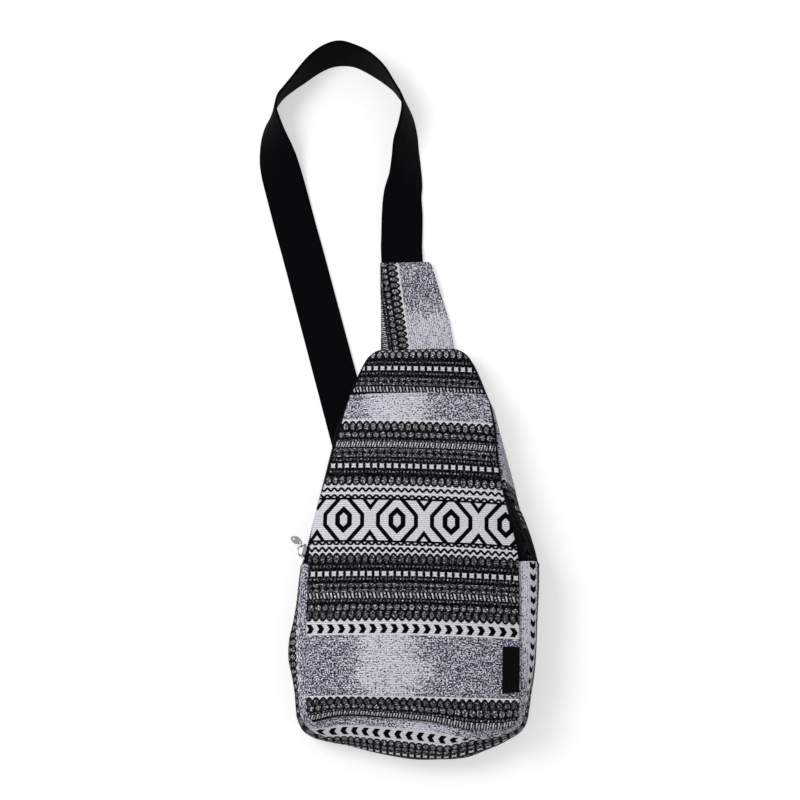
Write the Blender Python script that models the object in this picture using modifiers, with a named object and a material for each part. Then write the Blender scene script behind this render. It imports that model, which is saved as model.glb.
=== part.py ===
# A soft crossbody bag of patterned cotton, lying on its back panel with the
# webbing strap looped above it.  Metres, +Z up out of the front panel, +Y
# towards the strap, +X to the right of someone looking down at the front.
# Lengths below are typed in millimetres and turned to metres by MM.
import bpy
import bmesh
import math
from mathutils import Vector, Matrix

MM = 0.001

# ---- driving sizes, in millimetres
body_length = 332.0        # yoke top to bottom seam, along Y
body_width = 180.0         # front panel at its widest
body_depth = 61.0          # table to front seam at its highest
panel_crown = 13.0         # how far the stuffed front swells above its seam
fabric = 1.5               # jacquard cotton with its backing
lining = 0.8
seam_gap = 0.35            # air left between neighbouring pieces
strap_width = 38.0
strap_thick = 2.0
tab_length = 85.0
pocket_drop = 45.0         # yoke top down to the slip pocket's edge
tape_thick = 0.6
coil_thick = 2.8
coil_pitch = 4.4
coil_inner = 1.15          # chain centre to the tips of the teeth
coil_outer = 3.55          # chain centre to the tape side of the coil
slider_length = 11.5
slider_width = 11.0
slider_plate = 1.8
label_width = 14.0
label_length = 40.0
channel_lift = 2.4         # the back panel rises this much over the strap

scale_y = body_length / 332.0
scale_x = body_width / 180.0
scale_z = body_depth / 61.0
top_y = 48.0 * scale_y

for old in list(bpy.data.objects):
    bpy.data.objects.remove(old, do_unlink=True)

bag = bpy.data.collections.new("crossbody_bag")
bpy.context.scene.collection.children.link(bag)
cutters = bpy.data.collections.new("cutters")
bpy.context.scene.collection.children.link(cutters)


def material(name, colour, rough=0.9, metal=0.0):
    mat = bpy.data.materials.new(name)
    mat.use_nodes = True
    bsdf = mat.node_tree.nodes["Principled BSDF"]
    bsdf.inputs["Base Color"].default_value = (*colour, 1.0)
    bsdf.inputs["Roughness"].default_value = rough
    bsdf.inputs["Metallic"].default_value = metal
    return mat


def finish(obj, colour, rough=0.9, metal=0.0):
    obj.data.materials.clear()
    obj.data.materials.append(material("mat_" + obj.name, colour, rough, metal))
    return obj


def new_object(name, bm, collection=bag):
    bmesh.ops.recalc_face_normals(bm, faces=bm.faces)
    mesh = bpy.data.meshes.new(name)
    bm.to_mesh(mesh)
    bm.free()
    obj = bpy.data.objects.new(name, mesh)
    collection.objects.link(obj)
    return obj


def between(rows, at):
    # straight-line reading of a short list of (position, size) pairs
    if at <= rows[0][0]:
        return rows[0][1]
    for (a, x), (b, y) in zip(rows, rows[1:]):
        if at <= b:
            return x + (y - x) * (at - a) / (b - a)
    return rows[-1][1]


def eased(rows, at):
    # the same reading with a smooth curve through the points
    count = len(rows)
    if at <= rows[0][0]:
        return rows[0][1]
    if at >= rows[-1][0]:
        return rows[-1][1]
    k = 0
    while rows[k + 1][0] < at:
        k += 1
    a, b = rows[k], rows[k + 1]
    step = b[0] - a[0]
    before = rows[max(k - 1, 0)]
    after = rows[min(k + 2, count - 1)]
    slope_a = (b[1] - before[1]) / (b[0] - before[0])
    slope_b = (after[1] - a[1]) / (after[0] - a[0])
    t = (at - a[0]) / step
    return ((2 * t ** 3 - 3 * t ** 2 + 1) * a[1] + (t ** 3 - 2 * t ** 2 + t) * step * slope_a
            + (-2 * t ** 3 + 3 * t ** 2) * b[1] + (t ** 3 - t ** 2) * step * slope_b)


def sheet(name, rows, thick, offset=0.0, collection=bag):
    # a grid of points made into cloth of one thickness
    bm = bmesh.new()
    grid = [[bm.verts.new(Vector(p) * MM) for p in row] for row in rows]
    for lower, upper in zip(grid, grid[1:]):
        for i in range(len(lower) - 1):
            bm.faces.new((lower[i], lower[i + 1], upper[i + 1], upper[i]))
    obj = new_object(name, bm, collection)
    solid = obj.modifiers.new("cloth thickness", "SOLIDIFY")
    solid.thickness = thick * MM
    solid.offset = offset
    solid.use_even_offset = True
    return obj


# ---- outline of the front, measured from the bag's centre line and yoke
right_half = [(-284, 82), (-281, 86), (-276, 88), (-256, 88.8), (-200, 90), (-147, 89.8),
              (-130, 88.5), (-87, 80), (-50, 74), (-8, 67), (5, 61), (25, 53.5), (38, 46.5),
              (44, 41), (48, 34)]
left_half = [(-284, 84), (-281, 87.5), (-276, 89.2), (-256, 89.2), (-200, 90), (-147, 89),
             (-110, 85.5), (-75, 76.5), (-24, 65), (3, 58.5), (21, 52.5), (37, 44.5),
             (44, 38), (48, 31.5)]
seam_height = [(-284, 54), (-256, 58), (-200, 61), (-148, 58.5), (-110, 55), (-75, 50.5),
               (-24, 43), (0, 38.5), (20, 33.5), (38, 29.5), (48, 28)]
crown_share = [(-284, 0.0), (-276, 0.28), (-256, 0.7), (-200, 1.0), (-148, 0.95), (-75, 0.7),
               (-24, 0.52), (0, 0.42), (20, 0.3), (38, 0.14), (48, 0.0)]
bottom_wave = [(-84, 2.0), (-60, 7.0), (-22, 5.5), (10, 2.5), (23, 0.5), (38, -3.0),
               (52, -5.0), (75, -4.0), (84, -1.5)]
row_stops = [-284, -281, -276, -268, -257, -243, -228, -212, -196, -180, -164, -148, -133,
             -118, -102, -86, -70, -54, -38, -22, -6, 8, 20, 30, 38, 44, 48]
pocket_top = top_y / scale_y - pocket_drop
row_stops = [y for y in row_stops if y < -140 or abs(y - pocket_top) > 6.0] + [pocket_top]
row_stops.sort()
columns = 14


def half_width(y, side):
    return eased(right_half if side > 0 else left_half, y) * scale_x


def front_point(u, y, lift=0.0, widen=0.0):
    # u runs from -1 at the left seam to +1 at the right seam
    reach = half_width(y, 1 if u > 0 else -1) + widen
    x = u * reach
    swell = 1.0 - abs(u) ** 2.4
    z = eased(seam_height, y) * scale_z + panel_crown * eased(crown_share, y) * swell
    near_bottom = max(0.0, (-212 - y) / 72.0) ** 2
    drop = eased(bottom_wave, x / scale_x) * near_bottom
    return Vector((x, (y + drop) * scale_y, z + lift))


def across(k, count=columns):
    return -1.0 + 2.0 * k / count


def front_grid(lift=0.0, low=None, high=None, inset=0.0, rows=row_stops, count=columns):
    grid = []
    for y in rows:
        if low is not None and y < low:
            continue
        if high is not None and y > high:
            continue
        grid.append([front_point(across(k, count) * (1.0 - inset), y, lift) for k in range(count + 1)])
    return grid


# ---- perimeter stations: up the left side, over the top, down the right, along the bottom
class Station:
    pass


def station(u, y):
    s = Station()
    s.u = u
    s.y = y
    s.front = front_point(u, y)
    return s


left_side = [station(-1.0, y) for y in row_stops]
top_side = [station(across(k), row_stops[-1]) for k in range(1, columns)]
right_side = [station(1.0, y) for y in reversed(row_stops)]
bottom_side = [station(across(k), row_stops[0]) for k in range(columns - 1, 0, -1)]
ring = left_side + top_side + right_side + bottom_side

for i, s in enumerate(ring):
    a = ring[i - 1].front
    b = ring[(i + 1) % len(ring)].front
    run = Vector((b.x - a.x, b.y - a.y, 0.0)).normalized()
    s.out = Vector((-run.y, run.x, 0.0))
for turn in range(2):
    outs = [s.out.copy() for s in ring]
    for i, s in enumerate(ring):
        s.out = (outs[i - 1] + outs[i] * 2.0 + outs[(i + 1) % len(ring)]).normalized()

# how far the back seam and the bulge stand outside the front seam
back_right = [(-284, 7), (-200, 7), (-148, 10), (-80, 9), (-20, 4), (20, 2.5), (48, 1.0)]
back_left = [(-284, 7), (-200, 6), (-148, 6), (-80, 6), (-20, 4), (20, 2.5), (48, 1.0)]
bulge_right = [(-284, 7), (-262, 7), (-235, 10), (-200, 13.5), (-148, 13)]
bulge_left = [(-284, 8), (-253, 10), (-221, 15), (-187, 9), (-148, 6)]
bulge_bottom = [(-84, 9), (-60, 19), (-20, 26), (10, 27), (40, 21), (65, 13), (84, 8)]

strap_slope = 0.2665                   # the left leg leans this much in X for each unit of Y
strap_at = Vector((-62.4, -12.5))      # a point on the middle of that leg
strap_run = Vector((strap_slope, -1.0)).normalized()
strap_side = Vector((-strap_run.y, strap_run.x))
channel_half = strap_width / 2 + 2.0
channel_ramp = 7.0


def from_strap(x, y):
    return abs((Vector((x, y)) - strap_at).dot(strap_side))


def channel_rise(x, y, spread=0.0):
    away = from_strap(x, y) - channel_half - spread
    return channel_lift * min(1.0, max(0.0, 1.0 - away / channel_ramp))


tab_rise = 2 * fabric + 2 * seam_gap + 0.4
for s in ring:
    if s in bottom_side:
        s.back_out = 7.5
        s.bulge = eased(bulge_bottom, s.front.x / scale_x)
    elif s.u > 0 and s in right_side:
        s.back_out = eased(back_right, s.y)
        s.bulge = eased(bulge_right, s.y)
    elif s in left_side:
        s.back_out = eased(back_left, s.y)
        s.bulge = eased(bulge_left, s.y)
    else:
        s.back_out = 1.0
        s.bulge = 0.0
    foot = s.front + s.out * s.back_out
    rise = channel_rise(foot.x, foot.y, 13.0)
    if s.y > 47.0 and s in top_side + [left_side[-1], right_side[0]]:
        rise = tab_rise
    s.back = Vector((foot.x, foot.y, fabric + seam_gap + 0.75 + rise))
    s.hem = s.front + s.out * -0.9 + Vector((0, 0, -fabric - seam_gap - 0.75))


def wall_point(s, t):
    # t runs from 0 at the front seam to 1 at the back seam
    flat = s.hem.lerp(s.back, t)
    return flat + s.out * s.bulge * math.sin(math.pi * t) ** 0.85


def slid(a, b, reach):
    # the point that lies reach millimetres from a towards b
    return a + (b - a).normalized() * reach


# ---- front panel, slip pocket and linings
front_panel = sheet("front_panel", front_grid(0.0), fabric, -1.0)
finish(front_panel, (0.42, 0.42, 0.46))

pocket_rows = [y for y in row_stops if y <= pocket_top]
pocket_lift = seam_gap + fabric + 0.15
pocket_grid = []
for y in pocket_rows:
    flare = 3.0 * max(0.0, 1.0 - (pocket_top - y) / 60.0)
    line = [front_point(across(k), y, pocket_lift, flare) for k in range(columns + 1)]
    pocket_grid.append(line)
front_pocket = sheet("front_pocket", pocket_grid, fabric, -1.0)
finish(front_pocket, (0.40, 0.40, 0.45))

lining_rows = [-270, -240, -205, -170, -135, -100, -65, -30, 0, 18, 34]
lining_front = sheet("lining_front", front_grid(-fabric - 0.6, rows=lining_rows, inset=0.06, count=8),
                     lining, -1.0)
finish(lining_front, (0.05, 0.05, 0.06))


def flat_panel(name, reach, low, thick):
    # the back of the bag: one outline cut along the strap's channel and raised over it
    bm = bmesh.new()
    verts = []
    for s in ring:
        foot = s.front + s.out * (s.back_out + reach)
        verts.append(bm.verts.new(Vector((foot.x, foot.y, low)) * MM))
    bm.faces.new(verts)
    for edge in (channel_half, channel_half + channel_ramp):
        for side in (-1, 1):
            point = strap_at + strap_side * edge * side
            normal = Vector((strap_side.x, strap_side.y, 0.0))
            geometry = bm.verts[:] + bm.edges[:] + bm.faces[:]
            bmesh.ops.bisect_plane(bm, geom=geometry, dist=1e-7,
                                   plane_co=Vector((point.x, point.y, 0.0)) * MM, plane_no=normal)
    for v in bm.verts:
        v.co.z += channel_rise(v.co.x / MM, v.co.y / MM) * MM
    obj = new_object(name, bm)
    for face in obj.data.polygons:
        if face.normal.z < 0:
            obj.data.flip_normals()
        break
    solid = obj.modifiers.new("cloth thickness", "SOLIDIFY")
    solid.thickness = thick * MM
    solid.offset = 1.0
    solid.use_even_offset = True
    return obj


back_panel = flat_panel("back_panel", 0.9, 0.0, fabric)
finish(back_panel, (0.30, 0.30, 0.34))
lining_back = flat_panel("lining_back", -6.0, fabric + seam_gap, lining)
finish(lining_back, (0.05, 0.05, 0.06))

# ---- lower gusset: from the right zip end round the bottom to the left zip end
right_end = [s for s in right_side if s.y <= -148]
left_end = [s for s in left_side if s.y <= -148]
lower = right_end + bottom_side + left_end
profile = [0.0, 0.1, 0.24, 0.4, 0.56, 0.72, 0.87, 1.0]


def trimmed(rows, reach):
    # draw both ends of a run of sections in by the same amount
    start = [slid(a, b, reach) for a, b in zip(rows[0], rows[1])]
    stop = [slid(a, b, reach) for a, b in zip(rows[-1], rows[-2])]
    return [start] + rows[1:-1] + [stop]


lower_rows = trimmed([[wall_point(s, t) for t in profile] for s in lower], 0.5)
lower_gusset = sheet("lower_gusset", lower_rows, fabric, 0.0)
finish(lower_gusset, (0.36, 0.36, 0.40))

inner_profile = profile[1:-1]
lining_sections = []
for s in lower:
    section = []
    for t in inner_profile:
        along = (wall_point(s, t + 0.04) - wall_point(s, t - 0.04)).normalized()
        inward = along.cross(s.out.cross(Vector((0, 0, 1)))).normalized()
        if inward.dot(s.out) > 0:
            inward = -inward
        section.append(wall_point(s, t) + inward * (fabric / 2 + seam_gap + lining / 2 + 0.35))
    lining_sections.append(section)
lining_gusset = sheet("lining_gusset", trimmed(lining_sections, 1.5), lining, 0.0)
finish(lining_gusset, (0.05, 0.05, 0.06))

# ---- the zip's chain line, its tapes and the strip behind it
chain_out_right = [(-148, 9.0), (-86, 2.5), (-22, 1.2), (48, 2.0)]
chain_drop_right = [(-148, 9.5), (-86, 12.0), (-22, 10.5), (48, 9.3)]
tape_out_right = [(-148, 15.5), (-86, 4.0), (-22, 2.0), (48, 2.0)]
tape_drop_right = [(-148, 20.0), (-86, 22.5), (-22, 19.0), (48, 16.4)]
run_low = Vector((-95.0 * scale_x, -148.0 * scale_y, 45.5 * scale_z))
run_high = Vector((-67.6 * scale_x, -26.0 * scale_y, 32.0 * scale_z))
run_along = (run_high - run_low).normalized()

upper = [s for s in left_side if s.y >= -148] + top_side + [s for s in right_side if s.y >= -148]
for s in upper:
    if s in right_side or s in top_side:
        s.chain = s.hem + s.out * (between(chain_out_right, s.y) + 0.9)
        s.chain.z -= between(chain_drop_right, s.y)
        s.tape_end = s.hem + s.out * (between(tape_out_right, s.y) + 0.9)
        s.tape_end.z -= between(tape_drop_right, s.y)
    elif s.y <= -22:
        share = (s.y + 148.0) / 126.0
        s.chain = run_low.lerp(run_high, share)
        s.tape_end = s.chain + Vector((-1.8 + 0.8 * share, 0.0, -11.0 + 1.6 * share))
    else:
        share = (s.y + 22.0) / 70.0
        s.chain = s.hem + s.out * (2.6 - 0.6 * share + 0.9)
        s.chain.z -= 9.8 - 0.5 * share
        s.tape_end = s.hem + s.out * (2.8 - 0.8 * share + 0.9)
        s.tape_end.z -= 18.4 - 2.0 * share

for i, s in enumerate(upper):
    a = upper[max(i - 1, 0)].chain
    b = upper[min(i + 1, len(upper) - 1)].chain
    s.along = (b - a).normalized()
    if s in left_side and s.y <= -22:
        s.along = run_along.copy()
for s in upper:
    if s in left_side and s.y <= -22:
        s.down = Vector((-0.12, 0.0, -1.0))
    else:
        s.down = (s.tape_end - s.chain).normalized()
    s.down = (s.down - s.along * s.down.dot(s.along)).normalized()
    s.face = s.down.cross(s.along).normalized()
    if s.face.dot(s.out) < 0:
        s.face = -s.face

tape_edge = coil_outer + 0.3
tape_flat = slider_width / 2 + 0.9     # each tape leaves the chain square, so the slider clears it
front_tape_rows = []
back_tape_rows = []
strip_rows = []
for s in upper:
    edge = s.chain - s.down * tape_edge
    reach = min(tape_flat, (s.hem - s.chain).length * 0.8)
    square = s.chain - s.down * reach
    front_tape_rows.append([slid(s.hem, square, 0.2), square, edge])
    edge = s.chain + s.down * tape_edge
    reach = min(tape_flat, (s.tape_end - s.chain).length * 0.8)
    back_tape_rows.append([edge, s.chain + s.down * reach, s.tape_end])
    start = slid(s.tape_end, s.back, 0.4)
    lean = s.bulge * 0.55 if s.y < -60 and s in right_side else 0.0
    middle = start.lerp(s.back, 0.4) + s.out * lean * 0.5
    strip_rows.append([start, middle, start.lerp(s.back, 0.75) + s.out * lean * 0.3, s.back])

zip_tape_front = sheet("zip_tape_front", trimmed(front_tape_rows, 0.4), tape_thick, 0.0)
finish(zip_tape_front, (0.012, 0.012, 0.014))
zip_tape_back = sheet("zip_tape_back", trimmed(back_tape_rows, 0.4), tape_thick, 0.0)
finish(zip_tape_back, (0.012, 0.012, 0.014))
back_strip = sheet("back_strip", trimmed(strip_rows, 0.4), fabric, 0.0)
finish(back_strip, (0.36, 0.36, 0.40))

# the chain line with a length at every station
chain_length = [0.0]
for a, b in zip(upper, upper[1:]):
    chain_length.append(chain_length[-1] + (b.chain - a.chain).length)


def on_chain(distance):
    k = 0
    while k < len(upper) - 2 and chain_length[k + 1] < distance:
        k += 1
    share = (distance - chain_length[k]) / (chain_length[k + 1] - chain_length[k])
    a, b = upper[k], upper[k + 1]
    place = a.chain.lerp(b.chain, share)
    down = a.down.lerp(b.down, share).normalized()
    face = a.face.lerp(b.face, share).normalized()
    return place, down, face


coil_start = 4.6
coil_stop = chain_length[-1] - 6.0
tooth_steps = 2 * int((coil_stop - coil_start) / coil_pitch)
tooth_step = (coil_stop - coil_start) / tooth_steps


def coil(name, side, first):
    # a rail with one tooth on every other step, facing the other coil
    bm = bmesh.new()
    root = (coil_inner + coil_outer) / 2
    rings = []
    for i in range(tooth_steps + 1):
        place, down, face = on_chain(coil_start + i * tooth_step)
        corners = []
        for reach, height in ((root, -1), (coil_outer, -1), (coil_outer, 1), (root, 1)):
            point = place + down * side * reach + face * height * coil_thick / 2
            corners.append(bm.verts.new(point * MM))
        rings.append(corners)
    inner = []
    for i, (a, b) in enumerate(zip(rings, rings[1:])):
        for k in range(4):
            face = bm.faces.new((a[k], a[(k + 1) % 4], b[(k + 1) % 4], b[k]))
            if k == 3 and i % 2 == first:
                inner.append((i, face))
    bm.faces.new(rings[0][::-1])
    bm.faces.new(rings[-1])
    for i, face in inner:
        place, down, out = on_chain(coil_start + (i + 0.5) * tooth_step)
        made = bmesh.ops.extrude_discrete_faces(bm, faces=[face])["faces"][0]
        bmesh.ops.translate(bm, verts=made.verts, vec=-down * side * (root - coil_inner) * MM)
        centre = made.calc_center_median()
        for v in made.verts:
            v.co = centre + (v.co - centre) * 0.72
    return new_object(name, bm)


zip_coil_front = coil("zip_coil_front", -1, 0)
finish(zip_coil_front, (0.01, 0.01, 0.012), 0.5)
zip_coil_back = coil("zip_coil_back", 1, 1)
finish(zip_coil_back, (0.01, 0.01, 0.012), 0.5)


def frame_at(distance):
    place, down, face = on_chain(distance)
    along = run_along if distance < 100 else (on_chain(distance + 1)[0] - place).normalized()
    along = (along - down * along.dot(down)).normalized()
    rows = Matrix((along, down, along.cross(down))).transposed().to_4x4()
    rows.translation = place * MM
    return rows


def box(bm, low, high):
    made = bmesh.ops.create_cube(bm, size=1.0)["verts"]
    for v in made:
        v.co = Vector([(low[k] + (v.co[k] + 0.5) * (high[k] - low[k])) * MM for k in range(3)])
    return made


def box_object(name, low, high, collection=cutters):
    bm = bmesh.new()
    box(bm, low, high)
    obj = new_object(name, bm, collection)
    if collection is cutters:
        obj.hide_render = True
        obj.display_type = "WIRE"
    return obj


def boolean(obj, other, kind):
    step = obj.modifiers.new(kind.lower() + " " + other.name, "BOOLEAN")
    step.operation = kind
    step.solver = "EXACT"
    step.object = other


# ---- slider: two plates joined by the divider post, with a wire arch on its face
# its own axes: X along the zip towards the strap, Y across it, Z out of its face
slider_place = 11.8                # how far up the chain line its centre rests
slider_frame = frame_at(slider_place)
flip = 1.0 if slider_frame.to_3x3().col[2].dot(Vector((-1, 0, 0))) > 0 else -1.0
room = coil_thick / 2 + 0.4        # chain centre to each plate
top = room + slider_plate
half_l = slider_length / 2
half_w = slider_width / 2

bm = bmesh.new()
box(bm, (-half_l, -half_w, room), (half_l, half_w, top))
corners = [e for e in bm.edges if abs(e.verts[0].co.z - e.verts[1].co.z) > 1e-5]
bmesh.ops.bevel(bm, geom=corners, offset=1.8 * MM, segments=3, profile=0.5, affect="EDGES")
zip_slider = new_object("zip_slider", bm)
under = box_object("slider_under_plate", (-half_l + 0.8, -half_w + 0.4, -top), (half_l - 0.4, half_w - 0.4, -room))
post = box_object("slider_post", (half_l - 3.4, -0.75, -top + 0.4), (half_l - 0.8, 0.75, top - 0.4))
boolean(zip_slider, under, "UNION")
boolean(zip_slider, post, "UNION")
lips = []
for side in (-1, 1):
    for level in (-1, 1):
        far = half_w - (0.0 if level > 0 else 0.4)
        edges = sorted((side * far, side * (far - 1.1)))
        heights = sorted((level * (tape_thick / 2 + 0.4), level * (room + 0.5)))
        lip = box_object("slider_lip_%d_%d" % (side, level), (-half_l + 1.9, edges[0], heights[0]),
                         (half_l - 1.9, edges[1], heights[1]))
        lips.append(lip)
        boolean(zip_slider, lip, "UNION")

arch_radius = 4.8
arch_wire = 0.8
arch_base = top - 0.2
arch = bpy.data.curves.new("slider_arch", "CURVE")
arch.dimensions = "3D"
arch.bevel_depth = arch_wire * MM
arch.bevel_resolution = 2
arch.use_fill_caps = True
arch.render_resolution_u = 0
line = arch.splines.new("POLY")
arch_steps = 14
line.points.add(arch_steps)
for i in range(arch_steps + 1):
    angle = math.pi * i / arch_steps
    line.points[i].co = (-arch_radius * math.cos(angle) * MM, 0.0,
                         (arch_base + arch_radius * math.sin(angle)) * MM, 1.0)
arch_obj = bpy.data.objects.new("slider_arch", arch)
cutters.objects.link(arch_obj)
bpy.context.view_layer.update()
depsgraph = bpy.context.evaluated_depsgraph_get()
arch_mesh = bpy.data.meshes.new_from_object(arch_obj.evaluated_get(depsgraph))
bpy.data.objects.remove(arch_obj, do_unlink=True)
arch_solid = bpy.data.objects.new("slider_arch_wire", arch_mesh)
cutters.objects.link(arch_solid)
arch_solid.hide_render = True
arch_solid.display_type = "WIRE"
boolean(zip_slider, arch_solid, "UNION")
finish(zip_slider, (0.55, 0.54, 0.52), 0.3, 1.0)

turned = Matrix.Rotation(0.0 if flip > 0 else math.pi, 4, "X")
slider_frame = slider_frame @ turned
for obj in [zip_slider, under, post, arch_solid] + lips:
    obj.matrix_world = slider_frame

# ---- wire ring round the arch, and the leaf-shaped pull on the ring
ring_wire = 0.5
ring_radius = 2.35
ring_near = arch_radius - arch_wire - 0.4 - ring_wire
ring_middle = ring_near + ring_radius
ring_far = ring_near + 2 * ring_radius
ring_lean = math.radians(60.0)
pull_lean = math.radians(14.0)

bpy.ops.mesh.primitive_torus_add(major_radius=ring_radius * MM, minor_radius=ring_wire * MM,
                                 major_segments=24, minor_segments=8)
zip_pull_ring = bpy.context.active_object
zip_pull_ring.name = "zip_pull_ring"
for owner in list(zip_pull_ring.users_collection):
    owner.objects.unlink(zip_pull_ring)
bag.objects.link(zip_pull_ring)
# the torus lies in X and Y: stand it so that its axis follows the arch, then move it out
zip_pull_ring.data.transform(Matrix.Translation((0, 0, ring_middle * MM)) @ Matrix.Rotation(math.pi / 2, 4, "Y"))
ring_frame = slider_frame @ Matrix.Translation((0, 0, arch_base * MM)) @ Matrix.Rotation(ring_lean, 4, "Y")
zip_pull_ring.matrix_world = ring_frame
finish(zip_pull_ring, (0.55, 0.54, 0.52), 0.3, 1.0)

leaf_length = 9.6
leaf_half = 3.4
leaf_thick = 1.3
leaf = bpy.data.curves.new("zip_pull_leaf", "CURVE")
leaf.dimensions = "2D"
leaf.fill_mode = "BOTH"
leaf.extrude = leaf_thick / 2 * MM
leaf.render_resolution_u = 0
leaf.resolution_u = 6
shape = leaf.splines.new("BEZIER")
stops = [(-1.9, 0.0, 1.1), (leaf_length * 0.45, leaf_half, 2.6), (leaf_length, 0.0, 1.0),
         (leaf_length * 0.45, -leaf_half, 2.6)]
shape.bezier_points.add(3)
shape.use_cyclic_u = True
runs = [(0, 1), (1, 0), (0, -1), (-1, 0)]
for point, (x, y, arm), (rx, ry) in zip(shape.bezier_points, stops, runs):
    point.co = (x * MM, y * MM, 0)
    point.handle_left = ((x - rx * arm) * MM, (y - ry * arm) * MM, 0)
    point.handle_right = ((x + rx * arm) * MM, (y + ry * arm) * MM, 0)
for centre, radius in ((0.0, 0.9), (leaf_length - 2.9, 0.9)):
    hole = leaf.splines.new("POLY")
    hole.points.add(11)
    hole.use_cyclic_u = True
    for i, point in enumerate(hole.points):
        angle = 2 * math.pi * i / 12
        point.co = ((centre + radius * math.cos(angle)) * MM, radius * math.sin(angle) * MM, 0, 1)
leaf_curve = bpy.data.objects.new("leaf_curve", leaf)
cutters.objects.link(leaf_curve)
bpy.context.view_layer.update()
depsgraph = bpy.context.evaluated_depsgraph_get()
leaf_mesh = bpy.data.meshes.new_from_object(leaf_curve.evaluated_get(depsgraph))
bpy.data.objects.remove(leaf_curve, do_unlink=True)
bm = bmesh.new()
bm.from_mesh(leaf_mesh)
bmesh.ops.remove_doubles(bm, verts=bm.verts, dist=1e-6)
zip_pull_leaf = new_object("zip_pull_leaf", bm)
# the curve lies in X and Y: stand it in the plane of the arch, pointing out
zip_pull_leaf.data.transform(Matrix.Rotation(-math.pi / 2, 4, "Y") @ Matrix.Rotation(math.pi / 2, 4, "X"))
leaf_frame = ring_frame @ Matrix.Translation((0, 0, ring_far * MM)) @ Matrix.Rotation(pull_lean - ring_lean, 4, "Y")
zip_pull_leaf.matrix_world = leaf_frame
finish(zip_pull_leaf, (0.55, 0.54, 0.52), 0.3, 1.0)

# ---- stops at the ends of the zip
def stop(name, distance, low, high):
    obj = box_object(name, low, high, bag)
    edge = obj.modifiers.new("soft edges", "BEVEL")
    edge.width = 0.35 * MM
    edge.segments = 2
    obj.matrix_world = frame_at(distance)
    return finish(obj, (0.5, 0.5, 0.5), 0.35, 1.0)


stop_half = coil_thick / 2 + 0.3
stop("zip_bottom_stop", coil_start - 2.1, (-1.5, -coil_outer, -stop_half), (1.6, coil_outer, stop_half))
stop("zip_top_stop_front", coil_stop + 1.9, (-1.4, -coil_outer, -stop_half), (1.5, -coil_inner, stop_half))
stop("zip_top_stop_back", coil_stop + 1.9, (-1.4, coil_inner, -stop_half), (1.5, coil_outer, stop_half))

# ---- neck tab: two layers with the strap's end between them
tab_top = top_y + tab_length
tab_left = [(48, -32), (66, -32), (134, -32.8)]
tab_right = [(48, 35.4), (78, 30.3), (102, 23), (128, 15), (132, 13.6), (134, 11)]
tab_stops = [45.0, 50.2, 51.0, 58, 70, 84, 98, 106, 120, 128, 132, 134]


def tab_sheet(name, heights):
    rows = []
    for y in tab_stops:
        left = -30.0 if y < 50.5 else between(tab_left, y)
        right = 30.0 if y < 50.5 else between(tab_right, y)
        z = between(heights, y)
        at = top_y + (y - 48.0) * tab_length / 86.0
        rows.append([Vector((left + (right - left) * k / 4, at, z)) for k in range(5)])
    return sheet(name, rows, fabric, 1.0)


seat = fabric + seam_gap
tab_back_low = [(45, seat), (51, seat), (70, 0.1), (134, 0.1)]
tab_front_low = [(45, seat * 2), (51, seat * 2), (70, 0.1 + seat), (98, 0.1 + seat),
                 (106, 0.1 + seat + strap_thick + seam_gap), (134, 0.1 + seat + strap_thick + seam_gap)]
neck_tab_back = tab_sheet("neck_tab_back", tab_back_low)
finish(neck_tab_back, (0.34, 0.34, 0.38))
neck_tab_front = tab_sheet("neck_tab_front", tab_front_low)
finish(neck_tab_front, (0.34, 0.34, 0.38))

# ---- shoulder strap: middle of the webbing and how far it is rolled on its side
roll_stops = [
    (-12.5, 109, 0), (-12.5, 134, 0), (-12.4, 152, 0), (-12.2, 172, 4), (-12.0, 197, 21),
    (-9.8, 222, 38), (-8.8, 243, 50), (-7.9, 258, 62), (-8.0, 276, 75), (-10.6, 290, 84),
    (-15.5, 299, 91), (-24.0, 313, 102), (-36.0, 323.5, 111), (-48.0, 332.5, 117), (-60.0, 339, 122),
    (-72.0, 341, 124), (-85.0, 337, 121), (-97.0, 329, 115), (-110.0, 317.5, 108), (-122.0, 305, 99),
    (-129.5, 292, 89), (-132.6, 281, 79), (-133.6, 271, 68), (-132.3, 254, 46), (-127.0, 230, 16),
    (-120.2, 204, 3), (-111.3, 170, 0)]
lower_run = [150, 110, 70, 30, -10, -70, -130, -190, -240, -282]
for y in lower_run:
    roll_stops.append((strap_at.x + (strap_at.y - y) * strap_slope, y, 0))


def strap_rows():
    lengths = [0.0]
    for a, b in zip(roll_stops, roll_stops[1:]):
        lengths.append(lengths[-1] + math.dist(a[:2], b[:2]))
    xs = [(d, r[0]) for d, r in zip(lengths, roll_stops)]
    ys = [(d, r[1]) for d, r in zip(lengths, roll_stops)]
    rolls = [(d, r[2]) for d, r in zip(lengths, roll_stops)]
    rows = []
    steps = 78
    for i in range(steps + 1):
        d = lengths[-1] * i / steps
        x, y, roll = eased(xs, d), eased(ys, d), math.radians(eased(rolls, d))
        dx = eased(xs, min(d + 2, lengths[-1])) - eased(xs, max(d - 2, 0))
        dy = eased(ys, min(d + 2, lengths[-1])) - eased(ys, max(d - 2, 0))
        run = Vector((dx, dy, 0.0)).normalized()
        inner = Vector((-run.y, run.x, 0.0))
        side = inner * math.cos(roll) + Vector((0, 0, math.sin(roll)))
        flat = inner * -math.sin(roll) + Vector((0, 0, math.cos(roll)))
        low = 0.06
        if d < 60:
            low += (seat + 0.04) * min(1.0, max(0.0, (46 - d) / 16.0))
        height = low + strap_width / 2 * abs(math.sin(roll)) + strap_thick / 2 * abs(math.cos(roll))
        middle = Vector((x, y, height))
        rows.append((middle, side, flat))
    return rows


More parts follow.
